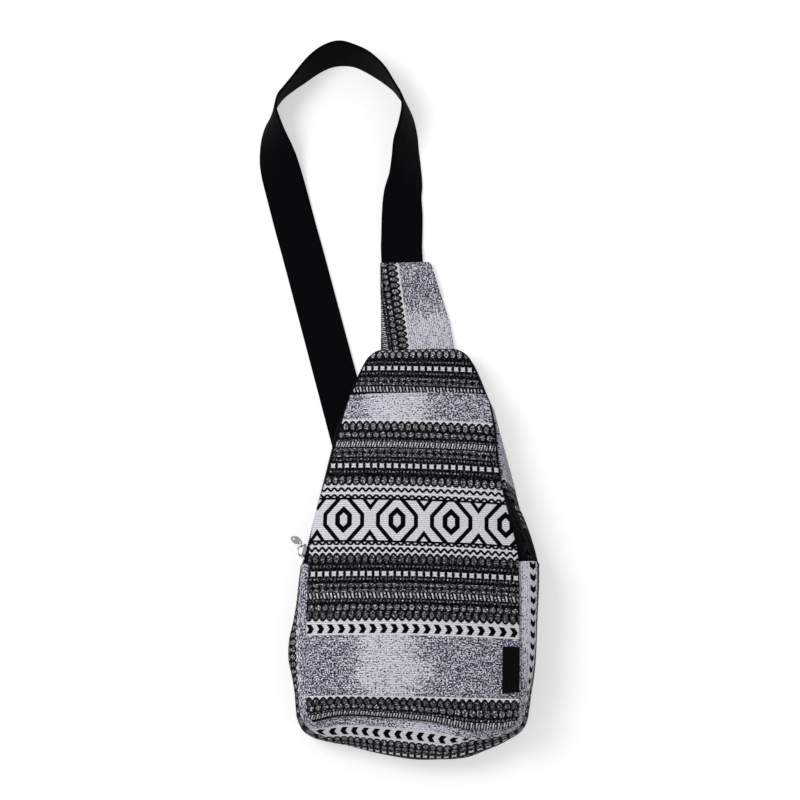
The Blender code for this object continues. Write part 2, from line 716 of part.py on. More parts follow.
bm = bmesh.new()
loops = []
for middle, side, flat in strap_rows():
    corners = []
    for a, b in ((-1, -1), (1, -1), (1, 1), (-1, 1)):
        corners.append(bm.verts.new((middle + side * a * strap_width / 2 + flat * b * strap_thick / 2) * MM))
    loops.append(corners)
for a, b in zip(loops, loops[1:]):
    for k in range(4):
        bm.faces.new((a[k], a[(k + 1) % 4], b[(k + 1) % 4], b[k]))
bm.faces.new(loops[0][::-1])
bm.faces.new(loops[-1])
shoulder_strap = new_object("shoulder_strap", bm)
finish(shoulder_strap, (0.01, 0.01, 0.013))

# ---- side label caught in the right seam and lying on the pocket
label_low = -256.0
label_rows = []
for k in range(6):
    y = label_low + label_length * k / 5
    reach = half_width(y, 1)
    inner = 1.0 - label_width / reach
    label_rows.append([front_point(inner + (1.0 - inner) * j / 3, y, pocket_lift + seam_gap + 0.35) for j in range(4)])
side_label = sheet("side_label", label_rows, 0.7, 1.0)
finish(side_label, (0.02, 0.02, 0.02), 0.5)

# ---- put the middle of the whole footprint on the origin, standing on Z = 0
bpy.context.view_layer.update()
depsgraph = bpy.context.evaluated_depsgraph_get()
low = Vector((1e9, 1e9, 1e9))
high = -low
for obj in bag.objects:
    copy = obj.evaluated_get(depsgraph)
    mesh = copy.to_mesh()
    for v in mesh.vertices:
        p = copy.matrix_world @ v.co
        for k in range(3):
            low[k] = min(low[k], p[k])
            high[k] = max(high[k], p[k])
    copy.to_mesh_clear()
middle = (low + high) / 2
shift = Matrix.Translation((-middle.x, -middle.y, -low.z))
for obj in list(bag.objects) + list(cutters.objects):
    obj.matrix_world = shift @ obj.matrix_world
    # cloth pieces carry their shape in the mesh, so only moving pieces keep an origin of their own
    if obj.name.split("_")[0] not in ("zip", "slider") or "tape" in obj.name or "coil" in obj.name:
        obj.data.transform(obj.matrix_world)
        obj.matrix_world = Matrix.Identity(4)

bpy.context.view_layer.update()
print("footprint", [round(c * 1000, 2) for c in high - low], "shift", [round(c * 1000, 3) for c in shift.translation])
print("slide axis", [round(c, 6) for c in run_along])
slider_now = zip_slider.matrix_world
print("slider origin", [round(c, 7) for c in slider_now.translation])
print("across axis", [round(c, 6) for c in slider_now.to_3x3().col[1].normalized()])
print("face axis", [round(c, 6) for c in slider_now.to_3x3().col[2].normalized()])
print("ring origin", [round(c, 7) for c in zip_pull_ring.matrix_world.translation])
print("leaf origin", [round(c, 7) for c in zip_pull_leaf.matrix_world.translation])
print("chain length", round(chain_length[-1], 2), "steps", tooth_steps)
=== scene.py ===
# Looks of a crossbody bag in woven patterned cotton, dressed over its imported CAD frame.
# Lengths are typed in millimetres on the bag's own centre line and yoke, and sent to the frame by toFrame.
import bmesh
import bpy
import math
from mathutils import Vector, Matrix


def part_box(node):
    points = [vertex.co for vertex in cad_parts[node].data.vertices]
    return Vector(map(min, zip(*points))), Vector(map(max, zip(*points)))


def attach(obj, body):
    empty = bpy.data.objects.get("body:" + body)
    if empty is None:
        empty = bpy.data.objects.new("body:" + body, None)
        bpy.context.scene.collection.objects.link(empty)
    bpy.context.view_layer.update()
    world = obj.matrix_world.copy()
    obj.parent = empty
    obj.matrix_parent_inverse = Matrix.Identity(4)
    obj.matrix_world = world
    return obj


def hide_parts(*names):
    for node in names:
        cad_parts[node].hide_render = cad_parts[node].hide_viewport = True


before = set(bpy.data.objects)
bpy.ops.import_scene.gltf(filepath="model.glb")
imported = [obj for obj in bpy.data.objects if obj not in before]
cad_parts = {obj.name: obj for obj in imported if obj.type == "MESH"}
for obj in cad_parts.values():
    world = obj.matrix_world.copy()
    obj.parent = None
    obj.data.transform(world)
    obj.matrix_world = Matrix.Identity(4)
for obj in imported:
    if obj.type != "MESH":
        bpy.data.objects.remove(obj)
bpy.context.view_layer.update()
print("frame loaded:", len(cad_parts), "nodes")

mm = 0.001
frontLow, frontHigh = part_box("front_panel")
yokeTop = 48.0                                    # height of the yoke seam on the centre line
centreX = (frontLow.x + frontHigh.x) / 2 / mm     # the bag's centre line in the frame
centreY = frontHigh.y / mm - yokeTop


def toFrame(point):
    return Vector(((point[0] + centreX) * mm, (point[1] + centreY) * mm, point[2] * mm))


def eased(stops, at):
    # smooth curve through a short list of (position, size) stops
    if at <= stops[0][0]:
        return stops[0][1]
    if at >= stops[-1][0]:
        return stops[-1][1]
    k = 0
    while stops[k + 1][0] < at:
        k += 1
    a, b = stops[k], stops[k + 1]
    gap = b[0] - a[0]
    before, after = stops[max(k - 1, 0)], stops[min(k + 2, len(stops) - 1)]
    slopeA = (b[1] - before[1]) / (b[0] - before[0])
    slopeB = (after[1] - a[1]) / (after[0] - a[0])
    t = (at - a[0]) / gap
    return ((2 * t ** 3 - 3 * t ** 2 + 1) * a[1] + (t ** 3 - 2 * t ** 2 + t) * gap * slopeA
            + (-2 * t ** 3 + 3 * t ** 2) * b[1] + (t ** 3 - t ** 2) * gap * slopeB)


def straight(stops, at):
    if at <= stops[0][0]:
        return stops[0][1]
    for (a, x), (b, y) in zip(stops, stops[1:]):
        if at <= b:
            return x + (y - x) * (at - a) / (b - a)
    return stops[-1][1]


def spread(low, high, count):
    return [low + (high - low) * i / (count - 1) for i in range(count)]


# shader wiring: a wire is a value in a tree that adds and multiplies like a number
class wire:
    def __init__(self, tree, socket):
        self.tree = tree
        self.socket = socket

    def math(self, operation, *others, clamp=False):
        node = self.tree.nodes.new("ShaderNodeMath")
        node.operation = operation
        node.use_clamp = clamp
        for k, value in enumerate((self,) + others):
            if isinstance(value, wire):
                self.tree.links.new(value.socket, node.inputs[k])
            else:
                node.inputs[k].default_value = value
        return wire(self.tree, node.outputs[0])

    def __add__(self, other):
        return self.math("ADD", other)

    def __sub__(self, other):
        return self.math("SUBTRACT", other)

    def __mul__(self, other):
        return self.math("MULTIPLY", other)

    def below(self, edge, soft=0.22):
        # 1 where the value is under edge, with a soft step
        if isinstance(edge, wire):
            return (edge - self).math("MULTIPLY_ADD", 1.0 / soft, 0.5, clamp=True)
        return self.math("MULTIPLY_ADD", -1.0 / soft, edge / soft + 0.5, clamp=True)

    def above(self, edge, soft=0.22):
        return self.math("MULTIPLY_ADD", 1.0 / soft, 0.5 - edge / soft, clamp=True)

    def size(self):
        return self.math("ABSOLUTE")

    def squared(self):
        return self.math("POWER", 2.0)

    def most(self, other):
        return self.math("MAXIMUM", other)

    def cell(self, pitch):
        # distance from the middle of the repeat that the value falls in
        return (self.math("MULTIPLY", 1.0 / pitch).math("FRACT") - 0.5) * pitch


def newMaterial(name, roughness=0.9, metallic=0.0, sheen=0.0):
    material = bpy.data.materials.new(name)
    material.use_nodes = True
    tree = material.node_tree
    shader = tree.nodes["Principled BSDF"]
    shader.inputs["Roughness"].default_value = roughness
    shader.inputs["Metallic"].default_value = metallic
    shader.inputs["Sheen Weight"].default_value = sheen
    shader.inputs["Specular IOR Level"].default_value = 0.5 if metallic else 0.05
    return material, tree, shader


def clothPlace(tree):
    # millimetres along and across the cloth, from the piece's own UV map
    place = tree.nodes.new("ShaderNodeUVMap")
    place.uv_map = "cloth"
    split = tree.nodes.new("ShaderNodeSeparateXYZ")
    tree.links.new(place.outputs[0], split.inputs[0])
    return wire(tree, split.outputs[0]), wire(tree, split.outputs[1])


def joined(tree, x, y, z=None):
    node = tree.nodes.new("ShaderNodeCombineXYZ")
    for k, value in enumerate((x, y, z)):
        if value is not None:
            tree.links.new(value.socket, node.inputs[k])
    return node.outputs[0]


def speckle(tree, place, scale, detail=1.0, rough=0.5):
    node = tree.nodes.new("ShaderNodeTexNoise")
    node.inputs["Scale"].default_value = scale
    node.inputs["Detail"].default_value = detail
    node.inputs["Roughness"].default_value = rough
    tree.links.new(place, node.inputs["Vector"])
    return wire(tree, node.outputs["Fac"])


def ramp(tree, value, stops):
    node = tree.nodes.new("ShaderNodeValToRGB")
    band = node.color_ramp
    while len(band.elements) < len(stops):
        band.elements.new(0.5)
    for element, (at, colour) in zip(band.elements, stops):
        element.position = at
        element.color = (*colour, 1.0)
    tree.links.new(value.socket, node.inputs[0])
    return node.outputs[0]


def shaded(tree, colour, factor):
    # a colour made lighter or darker by a wire
    node = tree.nodes.new("ShaderNodeVectorMath")
    node.operation = "SCALE"
    tree.links.new(colour, node.inputs[0])
    tree.links.new(factor.socket, node.inputs["Scale"])
    return node.outputs[0]


def bumped(tree, shader, height, distance):
    node = tree.nodes.new("ShaderNodeBump")
    node.inputs["Strength"].default_value = 1.0
    node.inputs["Distance"].default_value = distance * mm
    tree.links.new(height.socket, node.inputs["Height"])
    tree.links.new(node.outputs[0], shader.inputs["Normal"])


# the woven pattern
weave = {
    "pitch": 6.15,             # one small motif
    "hexPitch": 46.1,
    "hexMiddle": -12.7,        # a hexagon's middle, from the centre line
    "hexUnit": 0.871,
    "black": (0.0025, 0.0025, 0.004),
    "grey": (0.12, 0.12, 0.13),
    "white": (0.80, 0.78, 0.83),
    "slate": (0.032, 0.032, 0.066),
    "frost": (0.82, 0.80, 0.90),
    "scallopHeight": 9.4,
    "weftPitch": 1.85,
    "flecks": 0.465,           # share of pale yarn in the greyest heather
    # how much the rows drop towards the right, by height, on the left half and on the right half
    "leanLeft": [(-170, 0.015), (-120, 0.042), (20, 0.042), (36, 0.03), (48, 0.0)],
    "leanRight": [(-264, 0.018), (-215, 0.034), (-170, 0.034), (-120, 0.042), (20, 0.042), (36, 0.03),
                  (48, 0.0)],
    # how much the rows keep to the wave of the bottom hem
    "follow": [(-284, 1.0), (-277, 0.75), (-264, 0.15), (-230, 0.0)],
}
# scale, detail and roughness of the noise in the yarn
yarn = {
    "fleck": (0.75, 2.0, 0.6),
    "streak": (1.0, 3.0, 0.7),
    "streakRun": (0.06, 0.42),     # streaks are drawn out along the rows
    "blotch": (0.16, 3.0, 0.65),
    "thread": 0.9,                 # width of one thread
}
kinds = ["black", "white", "heather", "scallopDown", "scallopUp", "dots", "dimDots", "squares", "stars",
         "ticksUp", "ticksDown", "zigzag", "zigzagOver", "zigzagUnder", "hexagons", "chevrons"]
half = weave["pitch"] / 2

# where each band starts, down from the yoke, and where the middle of its motif falls
frontBands = [
    (60.0, "white", 0), (48.2, "scallopDown", -1.6), (35.4, "dimDots", 0), (30.4, "squares", 1.6),
    (24.2, "dimDots", 1.0), (18.4, "stars", -1.6), (9.6, "ticksDown", 1.2), (2.4, "black", 0)]
# the pocket's rows are in three runs, because one material holds only so many bands
pocketBandsHigh = [
    (4.0, "heather", 0), (-22.6, "white", 0), (-24.0, "scallopDown", 2.3), (-34.2, "dots", -1.4),
    (-40.4, "dimDots", 1.0), (-43.0, "ticksUp", 0.4), (-49.4, "stars", -0.1), (-58.0, "dimDots", 0),
    (-62.5, "squares", -1.9), (-69.0, "dimDots", 0.8), (-75.0, "scallopUp", 0.5), (-83.6, "white", 0),
    (-85.2, "zigzag", 0.0), (-89.4, "white", 0), (-91.6, "zigzagOver", 0.0), (-96.4, "hexagons", 0)]
pocketBandsMiddle = [
    (-96.4, "hexagons", 0), (-132.0, "zigzagUnder", 3.0), (-136.4, "white", 0),
    (-137.6, "zigzag", 3.0), (-142.4, "scallopDown", -2.7),
    (-152.2, "dimDots", 0), (-157.3, "squares", 1.3), (-162.6, "dimDots", 1.0), (-168.0, "stars", 1.2),
    (-175.6, "ticksDown", 0.3), (-181.0, "dimDots", 0.4), (-185.9, "dots", 0.1),
    (-191.0, "scallopUp", -1.7), (-200.2, "white", 0), (-202.6, "chevrons", 0.5)]
pocketBandsLow = [
    (-202.6, "chevrons", 0.5), (-210.2, "white", 0), (-211.9, "heather", 0),
    (-261.9, "white", 0), (-262.8, "scallopDown", -1.3), (-270.3, "dots", 0.5), (-275.4, "dimDots", 0),
    (-278.4, "ticksUp", 0.5), (-283.0, "black", 0)]
gussetBands = [
    (80.0, "dimDots", 0), (46.0, "stars", 0), (38.6, "dimDots", 0), (35.0, "squares", 0),
    (29.6, "dimDots", 0), (26.4, "dots", 0), (20.6, "scallopUp", 0),
    (11.8, "white", 0), (9.7, "chevrons", 0), (1.8, "white", 0),
    (0.0, "heather", 0)]
tabBands = [
    (60.0, "heather", 0), (1.4, "white", 0), (0.0, "scallopDown", 0), (-9.6, "dots", 3.0),
    (-15.0, "dimDots", 0), (-18.5, "ticksUp", 0), (-25.0, "black", 0)]
stripBands = [
    (120.0, "heather", 0), (-71.5, "white", 0), (-72.5, "scallopDown", 0.4), (-82.0, "dots", 0),
    (-88.0, "dimDots", 0), (-91.0, "ticksUp", 0), (-98.0, "stars", 0), (-107.0, "dots", 0),
    (-113.0, "black", 0)]


def jacquard(name, bands, ovalMiddle=5.5, ovalHalf=3.4, arrowPitch=9.03, ovalTone=0.56):
    material, tree, shader = newMaterial(name, roughness=0.95)
    along, down = clothPlace(tree)
    pitch = weave["pitch"]

    # walk down the bands, adding up what changes at each start
    total = None
    last = Vector((0.0, 0.0, 0.0))
    for start, kind, middle in bands:
        now = Vector((start, kinds.index(kind), half - middle))
        step = tree.nodes.new("ShaderNodeMath")
        step.operation = "LESS_THAN"
        tree.links.new(down.socket, step.inputs[0])
        step.inputs[1].default_value = start
        sums = tree.nodes.new("ShaderNodeVectorMath")
        sums.operation = "MULTIPLY_ADD"
        tree.links.new(step.outputs[0], sums.inputs[0])
        sums.inputs[1].default_value = now - last
        if total is None:
            sums.inputs[2].default_value = (0, 0, 0)
        else:
            tree.links.new(total, sums.inputs[2])
        total = sums.outputs[0]
        last = now
    split = tree.nodes.new("ShaderNodeSeparateXYZ")
    tree.links.new(total, split.inputs[0])
    start, kind, shift = (wire(tree, split.outputs[k]) for k in range(3))
    depth = start - down                       # millimetres under the band's top edge
    used = {label for _, label, _ in bands} | {"white", "heather"}
    used |= {"scallopUp", "scallopDown"} if used & {"scallopUp", "scallopDown"} else set()
    used |= {"zigzagOver", "zigzagUnder"} if used & {"zigzagOver", "zigzagUnder"} else set()
    here = {label: kind.math("COMPARE", float(k), 0.4) for k, label in enumerate(kinds) if label in used}

    moved = along + shift
    side = moved.cell(pitch)
    wide = side.size()
    tone = here["white"]
    slots = []

    if used & {"scallopDown", "scallopUp"}:
        turned = depth + here["scallopUp"] * (depth * -2.0 + weave["scallopHeight"])
        arch = wide.math("POWER", 1.7) * 0.42
        gap = turned.below(arch)
        tall = (turned - ovalMiddle) * (1.0 / ovalHalf)
        oval = (wide * 0.5).squared() + tall.squared()
        oval = oval.below(1.0, 0.25)
        slots.append((here["scallopDown"] + here["scallopUp"], gap.most(oval * ovalTone)))
    if "dots" in used:
        spot = ((wide * 0.42).squared() + ((depth - 2.8) * 0.42).squared()).below(1.0, 0.3)
        slots.append((here["dots"], spot * 0.56))
    if "dimDots" in used:
        small = moved.cell(half).size()
        spot = (small.squared() + (depth - 2.0).size().squared()).below(1.0, 0.7)
        slots.append((here["dimDots"], spot * 0.5))
    if "squares" in used:
        drop = (depth - 2.9).size()
        reach = (drop.squared() * 0.07).math("ADD", 1.75)
        rise = (wide.squared() * 0.09).math("ADD", 1.95)
        slots.append((here["squares"], wide.below(reach) * drop.below(rise) * 0.96))
    if "stars" in used:
        drop = (depth - 4.1).size()
        star = (wide.math("SQRT") + drop.math("SQRT")).above(2.2, 0.25)
        slots.append((here["stars"], star * drop.below(3.7) * 0.5))
    if "ticksUp" in used:
        slant = (moved + depth * 0.3).cell(2.3)
        faded = (moved.cell(4.6).below(0.0, 2.0) * 0.35).math("ADD", 0.62)
        inRow = depth.above(0.5) * depth.below(5.4)
        slots.append((here["ticksUp"], slant.size().below(0.62) * faded * inRow))
    if "ticksDown" in used:
        slant = (moved - depth * 0.25).cell(half)
        faded = (moved.cell(pitch).below(0.0, 2.0) * 0.3).math("ADD", 0.66)
        inRow = depth.above(0.6) * depth.below(5.8)
        slots.append((here["ticksDown"], slant.size().below(0.72) * faded * inRow))
    if "zigzag" in used:
        bend = wide * 1.15
        line = (depth - bend - 0.35).size().above(1.4)
        slots.append((here["zigzag"], line))
    if "zigzagOver" in used:
        turned = depth + here["zigzagUnder"] * (depth * -2.0 + 4.6)
        bend = wide * 1.0
        line = (turned - bend - 0.1).size().above(1.35) * turned.below(3.0)
        slots.append((here["zigzagOver"] + here["zigzagUnder"], line))
    if "hexagons" in used:
        unit = 1.0 / weave["hexUnit"]
        x = (along - (weave["hexMiddle"] - weave["hexPitch"] / 2)).cell(weave["hexPitch"]).size() * unit
        y = (depth - 17.9).size() * unit
        outer = (x - 18.6).most(x * 0.759 + y * 0.652 - 17.6).size().above(2.0, 0.3)
        ring = (x - 8.3).most(x * 0.707 + y * 0.707 - 9.7).above(0.0, 0.3)
        eye = (x - 3.6).most(x * 0.70 + y * 0.71 - 5.1).below(0.0, 0.3)
        between = x * -1.0 + 26.9
        wedge = (between - (y - 8.9) * 0.72).above(0.0, 0.3)
        core = (between - (y - 15.0) * 0.80).below(0.0, 0.3)
        slots.append((here["hexagons"], outer * ring.most(eye) * wedge.most(core)))
    if "chevrons" in used:
        slant = (along + shift - half + (depth - 3.9).size() * 0.64) * (1.0 / arrowPitch)
        arrow = (slant.math("FRACT") - 0.5).size().above(0.24, 0.03)
        slots.append((here["chevrons"], arrow.most(depth.above(7.7))))
    for mask, value in slots:
        tone = tone + mask * value

    # yarn noise: flecks of about a millimetre and a half, and streaks that run with the rows
    place = joined(tree, along * 0.85, down * 1.0)
    fine = speckle(tree, place, *yarn["fleck"])
    alongRun, acrossRun = yarn["streakRun"]
    streak = speckle(tree, joined(tree, along * alongRun, down * acrossRun), *yarn["streak"])
    paleNode = tree.nodes.new("ShaderNodeAttribute")
    paleNode.attribute_name = "pale"
    pale = wire(tree, paleNode.outputs["Fac"])
    patch = (pale + (streak - 0.5) * 2.2).above(0.5, 0.6)
    weft = down.cell(weave["weftPitch"]).size() * (1.0 / weave["weftPitch"])
    blotch = speckle(tree, joined(tree, along, down), *yarn["blotch"])
    heatherTone = fine.below(patch * 0.105 + (blotch - 0.5) * 0.22 + weave["flecks"], 0.11)
    inHeather = here["heather"]
    dark = tone.below(0.75, 0.2)
    crisp = here["white"]
    for label in ("zigzag", "zigzagOver", "zigzagUnder", "hexagons", "chevrons"):
        if label in here:
            crisp = crisp + here[label]
    plain = ramp(tree, tone + (fine - 0.56).most(0.0) * (crisp * -1.6 + 1.6),
                 [(0.0, weave["black"]), (0.5, weave["grey"]), (1.0, weave["white"])])
    heather = ramp(tree, heatherTone, [(0.0, weave["slate"]), (1.0, weave["frost"])])
    mixed = tree.nodes.new("ShaderNodeMix")
    mixed.data_type = "RGBA"
    tree.links.new(inHeather.socket, mixed.inputs[0])
    tree.links.new(plain, mixed.inputs["A"])
    tree.links.new(heather, mixed.inputs["B"])
    lift = ((fine - 0.53) * (dark * 8.5 + 0.9) * (inHeather * -1.0 + 1.0) + 1.0).most(0.12)
    lift = lift * (weft * 0.95 + 0.70)
    tree.links.new(shaded(tree, mixed.outputs[2], lift), shader.inputs["Base Color"])
    threads = along.cell(yarn["thread"]).size() * down.cell(yarn["thread"]).size()
    bumped(tree, shader, tone * 0.5 + fine * 0.5 + threads * -1.5, 0.25)
    return material


def plainCloth(name, colour, yarnPitch, sheen=0.0, roughness=0.85, contrast=0.5):
    # herringbone cloth: slanting ribs that turn back at each column
    material, tree, shader = newMaterial(name, roughness=roughness, sheen=sheen)
    along, across = clothPlace(tree)
    column = across.cell(yarnPitch * 6.0).size()
    rib = (along + column).cell(yarnPitch).size() * (2.0 / yarnPitch)
    grain = speckle(tree, joined(tree, along, across), 1.1, 2.0)
    tint = (rib * contrast + grain * 0.5).math("ADD", 0.6)
    base = tree.nodes.new("ShaderNodeRGB")
    base.outputs[0].default_value = (*colour, 1.0)
    tree.links.new(shaded(tree, base.outputs[0], tint), shader.inputs["Base Color"])
    bumped(tree, shader, rib + grain * 0.5, 0.22)
    return material


def metal(name, colour, roughness):
    material, tree, shader = newMaterial(name, roughness=roughness, metallic=1.0)
    place = tree.nodes.new("ShaderNodeTexCoord")
    wear = speckle(tree, place.outputs["Object"], 900.0, 4.0, 0.7)
    dull = [c * 0.72 for c in colour]
    tree.links.new(ramp(tree, wear, [(0.35, dull), (0.6, colour)]), shader.inputs["Base Color"])
    shine = wear * 0.25 + (roughness - 0.1)
    tree.links.new(shine.socket, shader.inputs["Roughness"])
    bumped(tree, shader, wear, 0.02)
    return material


def gloss(name, colour, roughness):
    # nylon or thread: one colour with a faint grain
    material, tree, shader = newMaterial(name, roughness=roughness)
    place = tree.nodes.new("ShaderNodeTexCoord")
    grain = speckle(tree, place.outputs["Object"], 2500.0, 2.0)
    low, high = [c * 0.7 for c in colour], [c * 1.3 for c in colour]
    tree.links.new(ramp(tree, grain, [(0.3, low), (0.7, high)]), shader.inputs["Base Color"])
    bumped(tree, shader, grain, 0.03)
    return material


frontCloth = jacquard("yokeJacquard", frontBands, 6.3, 4.1, ovalTone=0.64)
pocketCloth = [(-114.0, jacquard("pocketJacquardHigh", pocketBandsHigh)),
               (-206.0, jacquard("pocketJacquardMiddle", pocketBandsMiddle, ovalTone=0.45)),
               (-999.0, jacquard("pocketJacquardLow", pocketBandsLow, ovalTone=0.42))]
gussetCloth = jacquard("gussetJacquard", gussetBands, arrowPitch=9.6)
tabCloth = jacquard("tabJacquard", tabBands)
stripCloth = jacquard("stripJacquard", stripBands)
webbing = plainCloth("blackWebbing", (0.0022, 0.0022, 0.0034), 1.15, roughness=0.8)
tapeCloth = plainCloth("zipTape", (0.0025, 0.0025, 0.0034), 0.9, roughness=0.8)
liningCloth = plainCloth("liningCotton", (0.02, 0.02, 0.024), 0.6, roughness=0.9)
labelSatin = plainCloth("labelSatin", (0.004, 0.004, 0.006), 0.7, roughness=0.45, contrast=0.25)
nickel = metal("nickel", (0.60, 0.585, 0.575), 0.24)
nylon = gloss("blackNylon", (0.006, 0.006, 0.008), 0.4)
blackThread = gloss("blackThread", (0.008, 0.008, 0.010), 0.75)
greyThread = gloss("greyThread", (0.32, 0.31, 0.36), 0.85)
print("materials made")


# sheets of cloth
def clothPiece(name, rows, places, thick, offset, material, outward=True, pale=None, hidden=()):
    # rows of points in millimetres, with the place of each on the cloth
    width = len(rows[0])
    points = [toFrame(p) for row in rows for p in row]
    faces = []
    for j in range(len(rows) - 1):
        for i in range(width - 1):
            a = j * width + i
            quad = (a, a + 1, a + width + 1, a + width)
            faces.append(quad if outward else quad[::-1])
    mesh = bpy.data.meshes.new(name)
    mesh.from_pydata(points, [], faces)
    mesh.update()
    flatPlaces = [place for row in places for place in row]
    layer = mesh.uv_layers.new(name="cloth")
    for loop in mesh.loops:
        layer.data[loop.index].uv = flatPlaces[loop.vertex_index]
    shareOf = mesh.attributes.new("pale", "FLOAT", "POINT")
    for k, p in enumerate(p for row in rows for p in row):
        shareOf.data[k].value = 0.5 if pale is None else pale(p)
    for face in mesh.polygons:
        face.use_smooth = True
    piece = bpy.data.objects.new(name, mesh)
    bpy.context.scene.collection.objects.link(piece)
    solid = piece.modifiers.new("cloth thickness", "SOLIDIFY")
    solid.thickness = thick * mm
    solid.offset = offset
    solid.use_even_offset = True
    finishes = material if isinstance(material, list) else [(-999.0, material)]
    for _, finish in finishes:
        mesh.materials.append(finish)
    for face in mesh.polygons:
        level = sum(flatPlaces[k][1] for k in face.vertices) / len(face.vertices)
        face.material_index = next(k for k, (lowest, _) in enumerate(finishes) if level > lowest)
    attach(piece, "bag")
    if hidden:
        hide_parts(*hidden)
    return piece


cloth = {
    "thick": 1.5,
    "lining": 0.8,
    "gap": 0.35,
    "tape": 0.6,
    "crown": 13.0,
    "pocketEdge": 3.0,
    "low": -284.0,
    "topRoll": 2.4,                # how far the yoke's top seam is rolled down
    "waveTop": -212.0,
    "waveRun": 72.0,
    "hemOut": 0.9,                 # the walls start this far inside the front's seam
    "seamDrop": 0.75,              # and this far under its cloth
    "flare": 0.8,                  # the pocket's mouth stands out by this at each side
}
rightHalf = [(-284, 82), (-281, 86), (-276, 88), (-256, 88.8), (-200, 90), (-147, 89.6),
             (-130, 87.0), (-108, 82.0), (-84, 76.3), (-60, 72.6), (-40, 70.4), (-8, 66), (5, 61),
             (25, 53.5), (38, 46.5), (44, 41), (48, 34)]
leftHalf = [(-284, 84), (-281, 87.5), (-276, 89.2), (-256, 89.2), (-200, 90), (-147, 89),
            (-110, 85.2), (-75, 75.6), (-24, 62.5), (3, 55.2), (21, 48.8), (37, 41.7),
            (44, 36.2), (48, 31.5)]
seamHeight = [(-284, 54), (-256, 58), (-200, 61), (-148, 58.5), (-110, 55), (-75, 50.5),
              (-24, 43), (0, 38.5), (20, 33.5), (38, 29.5), (48, 28)]
crownShare = [(-284, 0.0), (-276, 0.28), (-256, 0.7), (-200, 1.0), (-148, 0.95), (-75, 0.7),
              (-24, 0.52), (0, 0.42), (20, 0.3), (38, 0.14), (48, 0.0)]
# the bottom hem waves, and the wave dies out upwards from the hem
bottomWave = [(-84, 2.0), (-60, 7.0), (-22, 5.5), (10, 2.5), (23, 0.5), (38, -3.0),
              (52, -5.0), (75, -4.0), (84, -1.5)]
# soft folds in the stuffed front: two ends, half width and height
folds = [((-84, -188), (-44, -208), 9.0, -1.5), ((-78, -176), (-30, -190), 9.0, 0.9),
         ((30, -262), (70, -238), 8.0, 1.0), ((-60, -268), (-20, -240), 10.0, 1.0),
         ((40, -60), (62, -20), 8.0, 0.8), ((-50, -20), (-30, 10), 8.0, 0.7),
         ((-20, -276), (10, -262), 8.0, -0.8), ((20, -150), (70, -120), 12.0, 0.6),
         ((-70, -120), (-20, -140), 12.0, 0.6)]


def foldHeight(x, y):
    total = 0.0
    for (ax, ay), (bx, by), width, height in folds:
        run = (bx - ax) ** 2 + (by - ay) ** 2
        t = max(0.0, min(1.0, ((x - ax) * (bx - ax) + (y - ay) * (by - ay)) / run))
        away = math.hypot(x - ax - t * (bx - ax), y - ay - t * (by - ay))
        total += height * math.exp(-(away / width) ** 2)
    return total


def halfWidth(y, side):
    return eased(rightHalf if side > 0 else leftHalf, y)


def hemWave(x, y):
    return eased(bottomWave, x) * max(0.0, (cloth["waveTop"] - y) / cloth["waveRun"]) ** 2


def frontPoint(u, y, lift=0.0, widen=0.0):
    # u runs from -1 at the left seam to +1 at the right seam
    x = u * (halfWidth(y, 1 if u > 0 else -1) + widen)
    swell = 1.0 - abs(u) ** 2.4
    z = eased(seamHeight, y) + cloth["crown"] * eased(crownShare, y) * swell
    z += foldHeight(x, y) * min(1.0, (1.0 - abs(u)) * 8.0)
    drop = hemWave(x, y)
    drop -= cloth["topRoll"] * max(0.0, (y - 38.0) / 10.0) ** 2
    return Vector((x, y + drop, z + lift))


def rowLevel(x, y):
    lean = straight(weave["leanRight"] if x > 0 else weave["leanLeft"], y)
    return y + lean * x + hemWave(x, y) * (1.0 - straight(weave["follow"], y))


def rowPlace(point, y, stretch=1.0):
    return (point[0] * stretch, rowLevel(point[0], y))


def frontSheet(rows, across, lift, inset=0.0, flare=None, stretch=1.0):
    grid, places = [], []
    for y in rows:
        widen = 0.0 if flare is None else flare(y)
        line = [frontPoint(u * (1.0 - inset), y, lift, widen) for u in across]
        grid.append(line)
        places.append([rowPlace(p, y, stretch) for p in line])
    return grid, places


def pocketPale(point):
    # whiter yarn drifts across the heathered bands
    x, y = point.x, point.y
    if y > -40:
        return 0.2 + 0.8 * math.exp(-((x + 15.0) / 26.0) ** 4)
    right = 1.0 / (1.0 + math.exp((x - 2.0 - 14.0 * math.exp(-((y + 242.0) / 9.0) ** 2)) / 7.0))
    left = 1.0 / (1.0 + math.exp(-(x + 43.0) / 6.0))
    return 0.12 + 0.83 * right * left


yokeRows = spread(cloth["low"], yokeTop, 120)
rows, places = frontSheet(yokeRows, spread(-1, 1, 81), 0.0, stretch=1.034)
frontPiece = clothPiece("frontPanel", rows, places, cloth["thick"], -1.0, frontCloth,
                        hidden=["front_panel"])

pocketLift = cloth["gap"] + cloth["thick"] + 0.15
pocketRows = spread(cloth["low"], cloth["pocketEdge"], 150)
rows, places = frontSheet(pocketRows, spread(-1, 1, 121), pocketLift,
                          flare=lambda y: cloth["flare"] * max(0.0, 1.0 - (cloth["pocketEdge"] - y) / 60.0))
pocketPiece = clothPiece("frontPocket", rows, places, cloth["thick"], -1.0, pocketCloth,
                         pale=pocketPale, hidden=["front_pocket"])

liningRows = spread(-270, 34, 60)
rows, places = frontSheet(liningRows, spread(-1, 1, 41), -cloth["thick"] - 0.8, inset=0.06)
liningFront = clothPiece("liningFront", rows, places, cloth["lining"], -1.0, liningCloth,
                         hidden=["lining_front"])
print("front, pocket and lining made")


# stations round the outline, as far apart as the CAD's, then smoothed between
class station:
    pass


